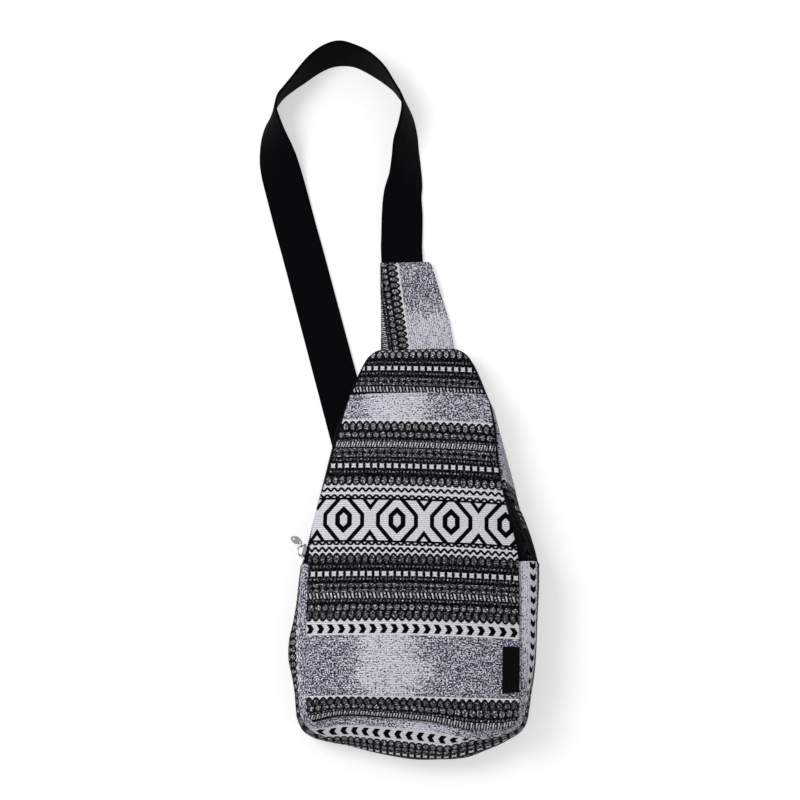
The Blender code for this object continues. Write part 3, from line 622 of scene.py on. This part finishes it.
rowStops = [-284, -281, -276, -268, -257, -243, -228, -212, -196, -180, -164, -148, -133, -118, -102, -86,
            -70, -54, -38, -22, -6, 3, 20, 30, 38, 44, 48]
columns = 14
zipEnd = -148.0                # height where the zip ends and the lower gusset starts
straightEnd = -22.0            # height where the zip's straight run on the left ends


def newStation(u, y):
    s = station()
    s.y, s.front = y, frontPoint(u, y)
    return s


def columnAt(k):
    return -1.0 + 2.0 * k / columns


leftSide = [newStation(-1.0, y) for y in rowStops]
topSide = [newStation(columnAt(k), rowStops[-1]) for k in range(1, columns)]
rightSide = [newStation(1.0, y) for y in reversed(rowStops)]
bottomSide = [newStation(columnAt(k), rowStops[0]) for k in range(columns - 1, 0, -1)]
loop = leftSide + topSide + rightSide + bottomSide
for i, s in enumerate(loop):
    a, b = loop[i - 1].front, loop[(i + 1) % len(loop)].front
    run = Vector((b.x - a.x, b.y - a.y, 0.0)).normalized()
    s.out = Vector((-run.y, run.x, 0.0))
for turn in range(2):
    outs = [s.out.copy() for s in loop]
    for i, s in enumerate(loop):
        s.out = (outs[i - 1] + outs[i] * 2.0 + outs[(i + 1) % len(loop)]).normalized()

# how far the foot of each wall stands out from the front's seam, and how far the wall bulges
backRight = [(-284, 4.5), (-262, 6), (-200, 6.5), (-148, 10), (-80, 11.5), (-40, 7), (-20, 4.5),
             (20, 2.5), (48, 1.0)]
backLeft = [(-284, 7), (-200, 6), (-148, 6), (-80, 6), (-20, 4), (20, 2.5), (48, 1.0)]
bulgeRight = [(-284, 3.5), (-262, 5.5), (-235, 9.5), (-200, 11), (-148, 12)]
bulgeLeft = [(-284, 8), (-253, 10), (-221, 15), (-187, 9), (-148, 6)]
bulgeBottom = [(-84, 9), (-60, 19), (-20, 26), (10, 27), (40, 20), (65, 9), (84, 4)]
strap = {
    "width": 38.0,
    "thick": 2.0,
    "slope": 0.2665,               # lean of the left leg in X for each unit of Y
    "at": Vector((-62.4, -12.5)),  # a point on the middle of that leg
    "channel": 21.0,
    "ramp": 7.0,
    "lift": 2.4,
    "clear": 0.06,                 # gap to the table
    "tucked": 46.0,                # this much of its end lies raised inside the tab
    "tuckRamp": 16.0,
}
legRun = Vector((strap["slope"], -1.0)).normalized()
legSide = Vector((-legRun.y, legRun.x))


def channelRise(x, y, extra=0.0):
    away = abs((Vector((x, y)) - strap["at"]).dot(legSide)) - strap["channel"] - extra
    return strap["lift"] * min(1.0, max(0.0, 1.0 - away / strap["ramp"]))


seatHeight = cloth["thick"] + cloth["gap"]
for s in loop:
    if s in bottomSide:
        s.backOut = 7.5 - 3.0 * min(1.0, max(0.0, (s.front.x - 50.0) / 34.0))
        s.bulge = eased(bulgeBottom, s.front.x)
    elif s in rightSide:
        s.backOut, s.bulge = eased(backRight, s.y), eased(bulgeRight, s.y)
    elif s in leftSide:
        s.backOut, s.bulge = eased(backLeft, s.y), eased(bulgeLeft, s.y)
    else:
        s.backOut, s.bulge = 1.0, 0.0
    s.turn = 1.0 if s in bottomSide else 1.0 + 0.7 * min(1.0, max(0.0, (s.y + 284) / 30.0))
    foot = s.front + s.out * s.backOut
    rise = channelRise(foot.x, foot.y, 13.0)
    if s.y > yokeTop - 1.0:
        rise = 2 * cloth["thick"] + 2 * cloth["gap"] + 0.4
    s.back = Vector((foot.x, foot.y, seatHeight + cloth["seamDrop"] + rise))
    s.hem = s.front + s.out * -cloth["hemOut"] + Vector((0, 0, -seatHeight - cloth["seamDrop"]))


def wallPoint(s, t):
    # beside the front the cloth first lies flat, then turns down; along the bottom it is rounder
    flat = s.hem.lerp(s.back, t)
    flat.z = s.hem.z + (s.back.z - s.hem.z) * t ** s.turn
    return flat + s.out * s.bulge * math.sin(math.pi * t) ** (0.85 - 0.2 * (s.turn - 1.0))


def slid(a, b, reach):
    return a + (b - a).normalized() * reach


def splined(points, at):
    # a smooth reading between evenly counted points
    k = max(0, min(len(points) - 2, int(at)))
    t = at - k
    a, b = points[k], points[k + 1]
    before, after = points[max(k - 1, 0)], points[min(k + 2, len(points) - 1)]
    return (a * (2 * t ** 3 - 3 * t ** 2 + 1) + (b - before) * 0.5 * (t ** 3 - 2 * t ** 2 + t)
            + b * (-2 * t ** 3 + 3 * t ** 2) + (after - a) * 0.5 * (t ** 3 - t ** 2))


def finer(sections, times):
    # more sections between the given ones
    count = (len(sections) - 1) * times
    return [[splined([sec[k] for sec in sections], i / times) for k in range(len(sections[0]))]
            for i in range(count + 1)]


def trimmed(sections, reach):
    start = [slid(a, b, reach) for a, b in zip(sections[0], sections[1])]
    stop = [slid(a, b, reach) for a, b in zip(sections[-1], sections[-2])]
    return [start] + sections[1:-1] + [stop]


def lengthsAcross(section):
    lengths = [0.0]
    for a, b in zip(section, section[1:]):
        lengths.append(lengths[-1] + (b - a).length)
    return lengths


def lengthsAlong(sections):
    return lengthsAcross([section[0] for section in sections])


gusset = {
    "heather": 8.8,               # width of plain heather next to the front seam
    "whiteBand": 11.8,             # white band with the arrows
    # how much of the white band is in sight, by distance round from the right zip end
    "inSight": [(0, 1.0), (66, 1.0), (100, 0.6), (116, 0.3), (124, 0.1), (172, 0.1), (182, 0.5),
                (192, 0.9), (200, 1.0), (297, 1.0), (304, 0.6), (309, 0.15), (313, 0.05), (460, 0.05)],
    # the rows past the arrows are drawn closer together under the bottom
    "squeeze": [(118, 1.0), (150, 1.45), (305, 1.45), (325, 1.0)],
    "profile": spread(0.0, 1.0, 33),
}


def gussetPale(p):
    # the bottom is whiter in its middle, and the right side towards its top
    bottom = 0.5 * math.exp(-((p.x - 5) / 22.0) ** 2) * (p.y < -270)
    return 0.3 + bottom + 0.6 * (p.x > 60) / (1.0 + math.exp(-(p.y + 235) / 12.0))


lower = [s for s in rightSide if s.y <= zipEnd] + bottomSide + [s for s in leftSide if s.y <= zipEnd]
wall = finer(trimmed([[wallPoint(s, t) for t in gusset["profile"]] for s in lower], 0.5), 6)
places = []
for section, at in zip(wall, lengthsAlong(wall)):
    inSight = eased(gusset["inSight"], at)
    line = []
    for reach in lengthsAcross(section):
        past = reach - gusset["heather"]
        shown = gusset["whiteBand"] * max(0.05, min(1.0, inSight))
        if past < 0:
            level = past
        elif past < shown:
            level = past * gusset["whiteBand"] / shown
        else:
            level = gusset["whiteBand"] + (past - shown) * straight(gusset["squeeze"], at)
        line.append((at, level))
    places.append(line)
gussetPiece = clothPiece("lowerGusset", wall, places, cloth["thick"], 0.0, gussetCloth, outward=False,
                         pale=gussetPale, hidden=["lower_gusset"])

# the lining follows the same wall, drawn 2.2 mm towards the bag's middle
inner = []
for section in [[wallPoint(s, t) for t in spread(0.06, 0.92, 15)] for s in lower]:
    inner.append([p + (Vector((0, max(p.y, -230), p.z)) - p).normalized() * 2.2 for p in section])
inner = finer(trimmed(inner, 1.5), 3)
places = [[(a, b) for b in lengthsAcross(section)] for section, a in zip(inner, lengthsAlong(inner))]
liningGusset = clothPiece("liningGusset", inner, places, cloth["lining"], 0.0, liningCloth, outward=False,
                          hidden=["lining_gusset"])
print("gusset made")

# zip tapes, the strip behind them and the chain line
chainOutRight = [(-148, 9.0), (-86, 2.5), (-22, 1.2), (48, 2.0)]
chainDropRight = [(-148, 9.5), (-86, 12.0), (-22, 10.5), (48, 9.3)]
tapeOutRight = [(-148, 15.5), (-86, 4.0), (-22, 2.0), (48, 2.0)]
tapeDropRight = [(-148, 20.0), (-86, 22.5), (-22, 19.0), (48, 16.4)]
runLow = Vector((-95.0, -148.0, 45.5))
runHigh = Vector((-67.6, -26.0, 32.0))
runAlong = (runHigh - runLow).normalized()
upper = [s for s in leftSide if s.y >= zipEnd] + topSide + [s for s in rightSide if s.y >= zipEnd]
for s in upper:
    if s in rightSide or s in topSide:
        s.chain = s.hem + s.out * (straight(chainOutRight, s.y) + cloth["hemOut"])
        s.chain.z -= straight(chainDropRight, s.y)
        s.tapeEnd = s.hem + s.out * (straight(tapeOutRight, s.y) + cloth["hemOut"])
        s.tapeEnd.z -= straight(tapeDropRight, s.y)
    elif s.y <= straightEnd:
        share = (s.y - zipEnd) / (straightEnd - zipEnd)
        s.chain = runLow.lerp(runHigh, share)
        s.tapeEnd = s.chain + Vector((-1.8 + 0.8 * share, 0.0, -11.0 + 1.6 * share))
    else:
        share = (s.y - straightEnd) / (yokeTop - straightEnd)
        s.chain = s.hem + s.out * (2.6 - 0.6 * share + cloth["hemOut"])
        s.chain.z -= 9.8 - 0.5 * share
        s.tapeEnd = s.hem + s.out * (2.8 - 0.8 * share + cloth["hemOut"])
        s.tapeEnd.z -= 18.4 - 2.0 * share
for i, s in enumerate(upper):
    a, b = upper[max(i - 1, 0)].chain, upper[min(i + 1, len(upper) - 1)].chain
    onRun = s in leftSide and s.y <= straightEnd
    s.along = runAlong.copy() if onRun else (b - a).normalized()
    s.down = Vector((-0.12, 0.0, -1.0)) if onRun else (s.tapeEnd - s.chain).normalized()
    s.down = (s.down - s.along * s.down.dot(s.along)).normalized()
    s.face = s.down.cross(s.along).normalized()
    if s.face.dot(s.out) < 0:
        s.face = -s.face

zipper = {"inner": 1.15, "outer": 3.55, "thick": 2.8, "flat": 6.4, "start": 4.6, "pitch": 1.75}
# on the right the cloth folds up over the zip and hides it: steps outwards and up, point by point
folded = {
    "rise": (2.4, 7.0),            # from the tape's end
    "lip": (2.6, -3.4),            # from the front's hem
    "under": (2.8, -4.5),          # from the lip
    "over": (3.0, -1.8),
    "turn": (3.0, 0.0),
    "share": [(-104, 0.0), (-86, 1.0), (-46, 1.0), (-6, 0.0)],
    "rowSlope": 0.042,             # how much the strip's rows drop to the right
}


def stepped(point, s, step):
    return point + s.out * step[0] + Vector((0, 0, step[1]))


frontTape, backTape, strip = [], [], []
for s in upper:
    edge = s.chain - s.down * (zipper["outer"] + 0.3)
    square = s.chain - s.down * min(zipper["flat"], (s.hem - s.chain).length * 0.8)
    frontTape.append([slid(s.hem, square, 0.2), square, edge])
    edge = s.chain + s.down * (zipper["outer"] + 0.3)
    turn = s.chain + s.down * min(zipper["flat"], (s.tapeEnd - s.chain).length * 0.8)
    backTape.append([edge, turn, s.tapeEnd])
    start = slid(s.tapeEnd, s.back, 0.4)
    lean = s.bulge * 0.55 if s.y < -60 and s in rightSide else 0.0
    plainRun = [start, start.lerp(s.back, 0.4) + s.out * lean * 0.5,
                start.lerp(s.back, 0.75) + s.out * lean * 0.3, s.back]
    lip = stepped(s.hem, s, folded["lip"])
    foldRun = [start, stepped(start, s, folded["rise"]), stepped(lip, s, folded["under"]), lip,
               stepped(lip, s, folded["over"]), stepped(lip, s, folded["turn"]).lerp(s.back, 0.5), s.back]
    share = straight(folded["share"], s.y) if s in rightSide else 0.0
    strip.append([splined(plainRun, k / 2).lerp(foldRun[k], share) for k in range(7)])


def denser(sections, count):
    # the same run of sections with more points across each one
    return [[splined(section, (len(section) - 1) * k / (count - 1)) for k in range(count)]
            for section in sections]


def runPiece(name, sections, thick, material, node, across=9, turned=False, pale=None):
    fine = finer(denser(trimmed(sections, 0.4), across), 5)
    places = []
    for section, a in zip(fine, lengthsAlong(fine)):
        if turned:
            slope = folded["rowSlope"]
            places.append([(b, p.y + slope * p.x) for p, b in zip(section, lengthsAcross(section))])
        else:
            places.append([(a, b) for b in lengthsAcross(section)])
    piece = clothPiece(name, fine, places, thick, 0.0, material, pale=pale, hidden=[node])
    return piece


runPiece("zipTapeFront", frontTape, cloth["tape"], tapeCloth, "zip_tape_front")
runPiece("zipTapeBack", backTape, cloth["tape"], tapeCloth, "zip_tape_back")
stripPiece = runPiece("backStrip", strip, cloth["thick"], stripCloth, "back_strip", 17, True,
                      lambda p: 0.5)
# even thickness would throw spikes where the strip folds sharply
stripPiece.modifiers["cloth thickness"].use_even_offset = False
print("tapes and strip made")


# pieces that repeat: zip teeth and stitches, set on points by geometry nodes
def scatterTree(name, material):
    tree = bpy.data.node_groups.new(name, "GeometryNodeTree")
    ports = tree.interface
    ports.new_socket("Points", in_out="INPUT", socket_type="NodeSocketGeometry")
    for label in ("Length", "Width", "Height"):
        ports.new_socket(label, in_out="INPUT", socket_type="NodeSocketFloat")
    ports.new_socket("Segments", in_out="INPUT", socket_type="NodeSocketInt")
    ports.new_socket("Geometry", in_out="OUTPUT", socket_type="NodeSocketGeometry")
    nodes, links = tree.nodes, tree.links
    given, made = nodes.new("NodeGroupInput"), nodes.new("NodeGroupOutput")
    bead = nodes.new("GeometryNodeMeshUVSphere")
    bead.inputs["Radius"].default_value = 0.5
    bead.inputs["Rings"].default_value = 6
    links.new(given.outputs["Segments"], bead.inputs["Segments"])
    size = nodes.new("ShaderNodeCombineXYZ")
    for k, label in enumerate(("Length", "Width", "Height")):
        links.new(given.outputs[label], size.inputs[k])
    shape = nodes.new("GeometryNodeTransform")
    links.new(bead.outputs["Mesh"], shape.inputs["Geometry"])
    links.new(size.outputs[0], shape.inputs["Scale"])
    smooth = nodes.new("GeometryNodeSetShadeSmooth")
    links.new(shape.outputs[0], smooth.inputs[0])
    turn = nodes.new("GeometryNodeInputNamedAttribute")
    turn.data_type = "FLOAT_VECTOR"
    turn.inputs["Name"].default_value = "turn"
    spin = nodes.new("FunctionNodeEulerToRotation")
    links.new(turn.outputs["Attribute"], spin.inputs[0])
    onPoints = nodes.new("GeometryNodeInstanceOnPoints")
    links.new(given.outputs["Points"], onPoints.inputs["Points"])
    links.new(smooth.outputs[0], onPoints.inputs["Instance"])
    links.new(spin.outputs[0], onPoints.inputs["Rotation"])
    real = nodes.new("GeometryNodeRealizeInstances")
    links.new(onPoints.outputs[0], real.inputs[0])
    paint = nodes.new("GeometryNodeSetMaterial")
    paint.inputs["Material"].default_value = material
    links.new(real.outputs[0], paint.inputs["Geometry"])
    links.new(paint.outputs[0], made.inputs[0])
    return tree


def scattered(name, spots, sizes, material, segments):
    # spots are (place, direction along, direction up) in millimetres of the bag
    mesh = bpy.data.meshes.new(name)
    mesh.from_pydata([toFrame(place) for place, _, _ in spots], [], [])
    turn = mesh.attributes.new("turn", "FLOAT_VECTOR", "POINT")
    for k, (_, along, up) in enumerate(spots):
        along = along.normalized()
        side = up.cross(along).normalized()
        axes = Matrix((along, side, along.cross(side))).transposed()
        turn.data[k].vector = axes.to_euler()
    piece = bpy.data.objects.new(name, mesh)
    bpy.context.scene.collection.objects.link(piece)
    steps = piece.modifiers.new("scatter", "NODES")
    steps.node_group = scatterTree(name + "Tree", material)
    values = {"Length": sizes[0] * mm, "Width": sizes[1] * mm, "Height": sizes[2] * mm,
              "Segments": segments}
    for item in steps.node_group.interface.items_tree:
        if item.in_out == "INPUT" and item.name in values:
            steps[item.identifier] = values[item.name]
    bpy.context.view_layer.update()
    result = bpy.data.meshes.new_from_object(piece.evaluated_get(bpy.context.evaluated_depsgraph_get()))
    piece.modifiers.clear()
    piece.data = result
    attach(piece, "bag")
    return piece


chainLength = lengthsAcross([s.chain for s in upper])


def onChain(distance):
    k = 0
    while k < len(upper) - 2 and chainLength[k + 1] < distance:
        k += 1
    share = (distance - chainLength[k]) / (chainLength[k + 1] - chainLength[k])
    a, b = upper[k], upper[k + 1]
    return (a.chain.lerp(b.chain, share), a.down.lerp(b.down, share).normalized(),
            a.face.lerp(b.face, share).normalized())


coilStop = chainLength[-1] - 6.0
reach = (zipper["inner"] + zipper["outer"]) / 2
tooth = (zipper["outer"] - zipper["inner"] - 0.05, zipper["pitch"] * 0.72, zipper["thick"] - 0.2)
for name, side, node in (("zipCoilFront", -1, "zip_coil_front"), ("zipCoilBack", 1, "zip_coil_back")):
    spots = []
    distance = zipper["start"] + (0.4 if side > 0 else 0.4 + zipper["pitch"] / 2)
    while distance < coilStop - 0.4:
        place, down, face = onChain(distance)
        spots.append((place + down * side * reach, down, face))
        distance += zipper["pitch"]
    coil = scattered(name, spots, tooth, nylon, 8)
    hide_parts(node)
print("zip made")

for nodeName in ("zip_slider", "zip_pull_ring", "zip_pull_leaf", "zip_bottom_stop", "zip_top_stop_front",
                 "zip_top_stop_back"):
    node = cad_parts[nodeName]
    node.data.materials.clear()
    node.data.materials.append(nylon if "top_stop" in nodeName else nickel)

# back of the bag, with its channel over the strap
back = {
    "reach": 0.9,
    "rings": 22,
    "spine": (-250.0, 20.0),       # the rings shrink to this stretch of the centre line
    "yokeCloth": 4.0,              # above this height the cloth is the yoke's
}


def backSheet(name, reach, low, thick, node, material):
    # rows run from the outline to the middle line of the bag
    outline = [s.front + s.out * (s.backOut + reach) for s in loop]
    outline = [splined(outline + [outline[0]], i / 3) for i in range(len(outline) * 3 + 1)]
    rows, places = [], []
    for k in range(back["rings"] + 1):
        share = 1.0 - k / back["rings"]
        line = []
        for p in outline:
            spine = Vector((0.0, max(min(p.y, back["spine"][1]), back["spine"][0]), 0.0))
            q = spine.lerp(Vector((p.x, p.y, 0.0)), share)
            line.append(Vector((q.x, q.y, low + channelRise(q.x, q.y))))
        rows.append(line)
        places.append([(p.x, p.y) for p in line])
    piece = clothPiece(name, rows, places, thick, -1.0, material, pale=lambda p: 0.4, hidden=[node])
    # the rings meet on the middle line, so their last points become one
    shape = bmesh.new()
    shape.from_mesh(piece.data)
    bmesh.ops.remove_doubles(shape, verts=shape.verts, dist=0.00001)
    shape.to_mesh(piece.data)
    shape.free()
    return piece


backSheet("backPanel", back["reach"], 0.0, cloth["thick"], "back_panel",
          [(back["yokeCloth"], frontCloth)] + pocketCloth)
backSheet("liningBack", -6.0, seatHeight, cloth["lining"], "lining_back", liningCloth)
print("back made")

# neck tab, two layers with the strap's end between them
tab = {
    "left": [(48, -32), (66, -32), (134, -32.8)],
    "right": [(48, 35.4), (78, 30.3), (102, 23), (128, 15), (132, 13.6), (134, 11)],
    "scallop": [(48, -5.2), (134, -17.6)],        # line where the dark bands meet the heather
    "stretch": 1.018,
    "stitches": [(-30.5, 52.0), (-30.8, 131.5), (11.5, 131.5), (13.0, 127.0), (20.6, 102.0), (27.8, 78.0),
                 (32.6, 52.0)],
    "tucked": (45.0, 50.4),                       # stretch that is sewn in under the yoke
    "tuckedHalf": 30.0,
    "open": (51.0, 133.0),
}
# underside of each layer above the table, from the yoke's seam to the strap
tabBackLow = [(45, seatHeight), (51, seatHeight), (70, 0.1), (134, 0.1)]
tabFrontLow = [(45, seatHeight * 2), (51, seatHeight * 2), (70, 0.1 + seatHeight), (98, 0.1 + seatHeight),
               (106, 0.45 + seatHeight + strap["thick"]), (134, 0.45 + seatHeight + strap["thick"])]


def tabSheet(name, heights, node):
    rows, places = [], []
    for y in spread(*tab["tucked"], 6) + spread(*tab["open"], 60):
        inSeam = y < tab["open"][0]
        left = -tab["tuckedHalf"] if inSeam else straight(tab["left"], y)
        right = tab["tuckedHalf"] if inSeam else straight(tab["right"], y)
        at = yokeTop + (y - yokeTop) * tab["stretch"]
        line, marks = [], []
        for x in spread(left, right, 31):
            line.append(Vector((x, at, straight(heights, y))))
            marks.append((-at * 1.09, x - straight(tab["scallop"], y)))
        rows.append(line)
        places.append(marks)
    piece = clothPiece(name, rows, places, cloth["thick"], 1.0, tabCloth, hidden=[node],
                       pale=lambda p: 0.95 - 0.83 / (1.0 + math.exp(-(p.y - 86.0) / 6.0)))
    return piece


tabBack = tabSheet("neckTabBack", tabBackLow, "neck_tab_back")
tabFront = tabSheet("neckTabFront", tabFrontLow, "neck_tab_front")

# strap: webbing that lies flat, then rolls on its edge over the top of the loop
# stops down the strap's middle: x, y and how far it is rolled on its edge, in degrees
rollStops = [
    (-12.5, 109, 0), (-12.8, 134, 0), (-13.4, 150, 2), (-13.0, 165, 6), (-12.5, 180, 15), (-11.6, 197, 30),
    (-8.8, 211, 42), (-8.1, 227, 51), (-8.0, 243, 58), (-6.4, 258, 68), (-6.6, 275, 79), (-10.0, 287.5, 84),
    (-14.2, 294, 86), (-20.5, 304.0, 88), (-25.8, 310.7, 92), (-33.5, 318.4, 96), (-44.6, 327.0, 99),
    (-56.2, 333.0, 99), (-68.9, 336.0, 102), (-81.5, 333.4, 99), (-93.2, 326.4, 95), (-103.4, 317.3, 90),
    (-113.6, 307.4, 83), (-122.4, 298.5, 79), (-128.0, 290.8, 79), (-131.6, 280, 76), (-133.2, 270, 64),
    (-132.3, 254, 46), (-127.0, 230, 16), (-120.2, 204, 3), (-111.3, 170, 0)]
for y in (150, 110, 70, 30, -10, -70, -130, -190, -240, -282):
    rollStops.append((strap["at"].x + (strap["at"].y - y) * strap["slope"], y, 0))
lengths = [0.0]
for a, b in zip(rollStops, rollStops[1:]):
    lengths.append(lengths[-1] + math.dist(a[:2], b[:2]))
strapX, strapY, strapRoll = ([(d, stop[k]) for d, stop in zip(lengths, rollStops)] for k in range(3))
strapLength = lengths[-1]


def strapFrame(d):
    x, y, roll = eased(strapX, d), eased(strapY, d), math.radians(eased(strapRoll, d))
    before, after = max(d - 2, 0), min(d + 2, strapLength)
    run = Vector((eased(strapX, after) - eased(strapX, before),
                  eased(strapY, after) - eased(strapY, before), 0))
    run.normalize()
    inner = Vector((-run.y, run.x, 0.0))
    side = inner * math.cos(roll) + Vector((0, 0, math.sin(roll)))
    flat = inner * -math.sin(roll) + Vector((0, 0, math.cos(roll)))
    inTab = min(1.0, max(0.0, (strap["tucked"] - d) / strap["tuckRamp"]))
    low = strap["clear"] + (seatHeight + 0.04) * inTab
    high = low + strap["width"] / 2 * abs(math.sin(roll)) + strap["thick"] / 2 * abs(math.cos(roll))
    return Vector((x, y, high)), run, side, flat


rows, places = [], []
for d in spread(0.0, strapLength, 420):
    middle, run, side, flat = strapFrame(d)
    line, marks = [], []
    for t in spread(-1.0, 1.0, 13):
        line.append(middle + side * t * strap["width"] / 2)
        marks.append((d, t * strap["width"] / 2))
    rows.append(line)
    places.append(marks)
strapPiece = clothPiece("shoulderStrap", rows, places, strap["thick"], 0.0, webbing,
                        hidden=["shoulder_strap"])
print("tab and strap made")

# bare satin label caught in the right seam
label = {"low": -258.0, "length": 37.0, "width": 14.0, "thick": 0.7}
rows, places = [], []
for y in spread(label["low"], label["low"] + label["length"], 20):
    reach = halfWidth(y, 1)
    line = [frontPoint(u, y, pocketLift + cloth["gap"] + 0.35)
            for u in spread(1.0 - label["width"] / reach, 1.0, 9)]
    rows.append(line)
    places.append([(p.y, p.x) for p in line])
labelPiece = clothPiece("sideLabel", rows, places, label["thick"], 1.0, labelSatin, hidden=["side_label"])


# stitching
def stitchLine(points, pitch):
    # evenly spaced spots along a line of points
    spots = []
    lengths = lengthsAcross(points)
    at, k = pitch / 2, 0
    while at < lengths[-1]:
        while lengths[k + 1] < at:
            k += 1
        share = (at - lengths[k]) / max(1e-6, lengths[k + 1] - lengths[k])
        spots.append((points[k].lerp(points[k + 1], share), points[k + 1] - points[k], up))
        at += pitch
    return spots


thread = {"pitch": 3.0, "size": (2.2, 0.45, 0.35)}
up = Vector((0, 0, 1))
line = [frontPoint(u, cloth["pocketEdge"] - 3.0, pocketLift + 0.05, 3.0) for u in spread(-0.98, 0.98, 90)]
scattered("pocketHemStitches", stitchLine(line, thread["pitch"]), thread["size"], blackThread, 6)
tabLine = []
for x, y in tab["stitches"]:
    at = yokeTop + (y - yokeTop) * tab["stretch"]
    tabLine.append(Vector((x, at, straight(tabFrontLow, y) + cloth["thick"] + 0.05)))
fineLine = []
for a, b in zip(tabLine, tabLine[1:]):
    fineLine += [a.lerp(b, k / 20) for k in range(20)]
for p in fineLine:
    designY = yokeTop + (p.y - yokeTop) / tab["stretch"]
    p.z = straight(tabFrontLow, designY) + cloth["thick"] + 0.05
scattered("tabStitches", stitchLine(fineLine, thread["pitch"]), thread["size"], greyThread, 6)
print("stitches made")

# floor, light and camera
studio = {
    "floor": (0.73, 0.73, 0.735),
    "floorGlow": 0.49,             # what camera and mirrored rays get on top, so that the floor is pale
    "floorSize": 12.0,
    "floorDrop": 0.0002,
    "world": 0.50,
    "panels": (7.0, 5.0),          # how often the dark panels that metal sees repeat
    "panelDepth": 0.42,
    "panelMiddle": 0.38,
    "key": 11.0,
    "keyAt": (-0.8, 0.2, 1.5),
    "keyTo": (0.0, 0.0, 0.03),
    "keySize": 0.8,
    "aim": (6.0, -19.98, 30.0),
    "distance": 1600.0,
    "lean": (4.0, 13.0),           # degrees towards the right and towards the bottom
    "lens": 81.36,
}
bpy.ops.mesh.primitive_plane_add(size=studio["floorSize"], location=(0, 0, -studio["floorDrop"]))
floor = bpy.context.active_object
floor.name = "studioFloor"
floorMaterial, tree, shader = newMaterial("paleFloor", roughness=0.95)
shader.inputs["Base Color"].default_value = (*studio["floor"], 1.0)
rays = tree.nodes.new("ShaderNodeLightPath")
seen = wire(tree, rays.outputs["Is Camera Ray"]) + wire(tree, rays.outputs["Is Glossy Ray"])
seen = seen + wire(tree, rays.outputs["Is Transmission Ray"])
seen = seen.math("MULTIPLY", studio["floorGlow"], clamp=True)
tree.links.new(seen.socket, shader.inputs["Emission Strength"])
shader.inputs["Emission Color"].default_value = (1, 1, 1, 1)
floor.data.materials.append(floorMaterial)

world = bpy.data.worlds.new("studioWorld")
bpy.context.scene.world = world
world.use_nodes = True
tree = world.node_tree
tree.nodes["Background"].inputs[0].default_value = (1.0, 1.0, 1.0, 1.0)
# polished metal sees dark panels in the room, so that it doesn't look flat
ray = tree.nodes.new("ShaderNodeLightPath")
heading = tree.nodes.new("ShaderNodeTexCoord")
split = tree.nodes.new("ShaderNodeSeparateXYZ")
tree.links.new(heading.outputs["Generated"], split.inputs[0])
oneWay, otherWay = (wire(tree, split.outputs[k]) * studio["panels"][k] for k in range(2))
room = (oneWay + otherWay).math("SINE").math("MULTIPLY_ADD", studio["panelDepth"], studio["panelMiddle"])
room = room.most(0.02)
mirrored = wire(tree, ray.outputs["Is Glossy Ray"])
power = (room - studio["world"]) * mirrored + studio["world"]
tree.links.new(power.socket, tree.nodes["Background"].inputs[1])

lampData = bpy.data.lights.new("softKey", "AREA")
lampData.shape = "DISK"
lampData.size = studio["keySize"]
lampData.energy = studio["key"]
lamp = bpy.data.objects.new("softKey", lampData)
bpy.context.scene.collection.objects.link(lamp)
lamp.location = studio["keyAt"]
keyRun = Vector(studio["keyTo"]) - Vector(studio["keyAt"])
lamp.rotation_euler = keyRun.to_track_quat("-Z", "Y").to_euler()

leanX, leanY = (math.radians(a) for a in studio["lean"])
away = Vector((math.sin(leanX), -math.sin(leanY) * math.cos(leanX), math.cos(leanY) * math.cos(leanX)))
rightWay = Vector((0, 1, 0)).cross(away).normalized()
upWay = away.cross(rightWay).normalized()
cameraData = bpy.data.cameras.new("photoCamera")
cameraData.sensor_width = 36.0
cameraData.lens = studio["lens"]
cameraData.clip_end = 20.0
camera = bpy.data.objects.new("photoCamera", cameraData)
bpy.context.scene.collection.objects.link(camera)
pose = Matrix((rightWay, upWay, away)).transposed().to_4x4()
pose.translation = (Vector(studio["aim"]) + away * studio["distance"]) * mm
camera.matrix_world = pose
bpy.context.scene.camera = camera
bpy.context.scene.view_settings.view_transform = "Standard"

print("scene ready")
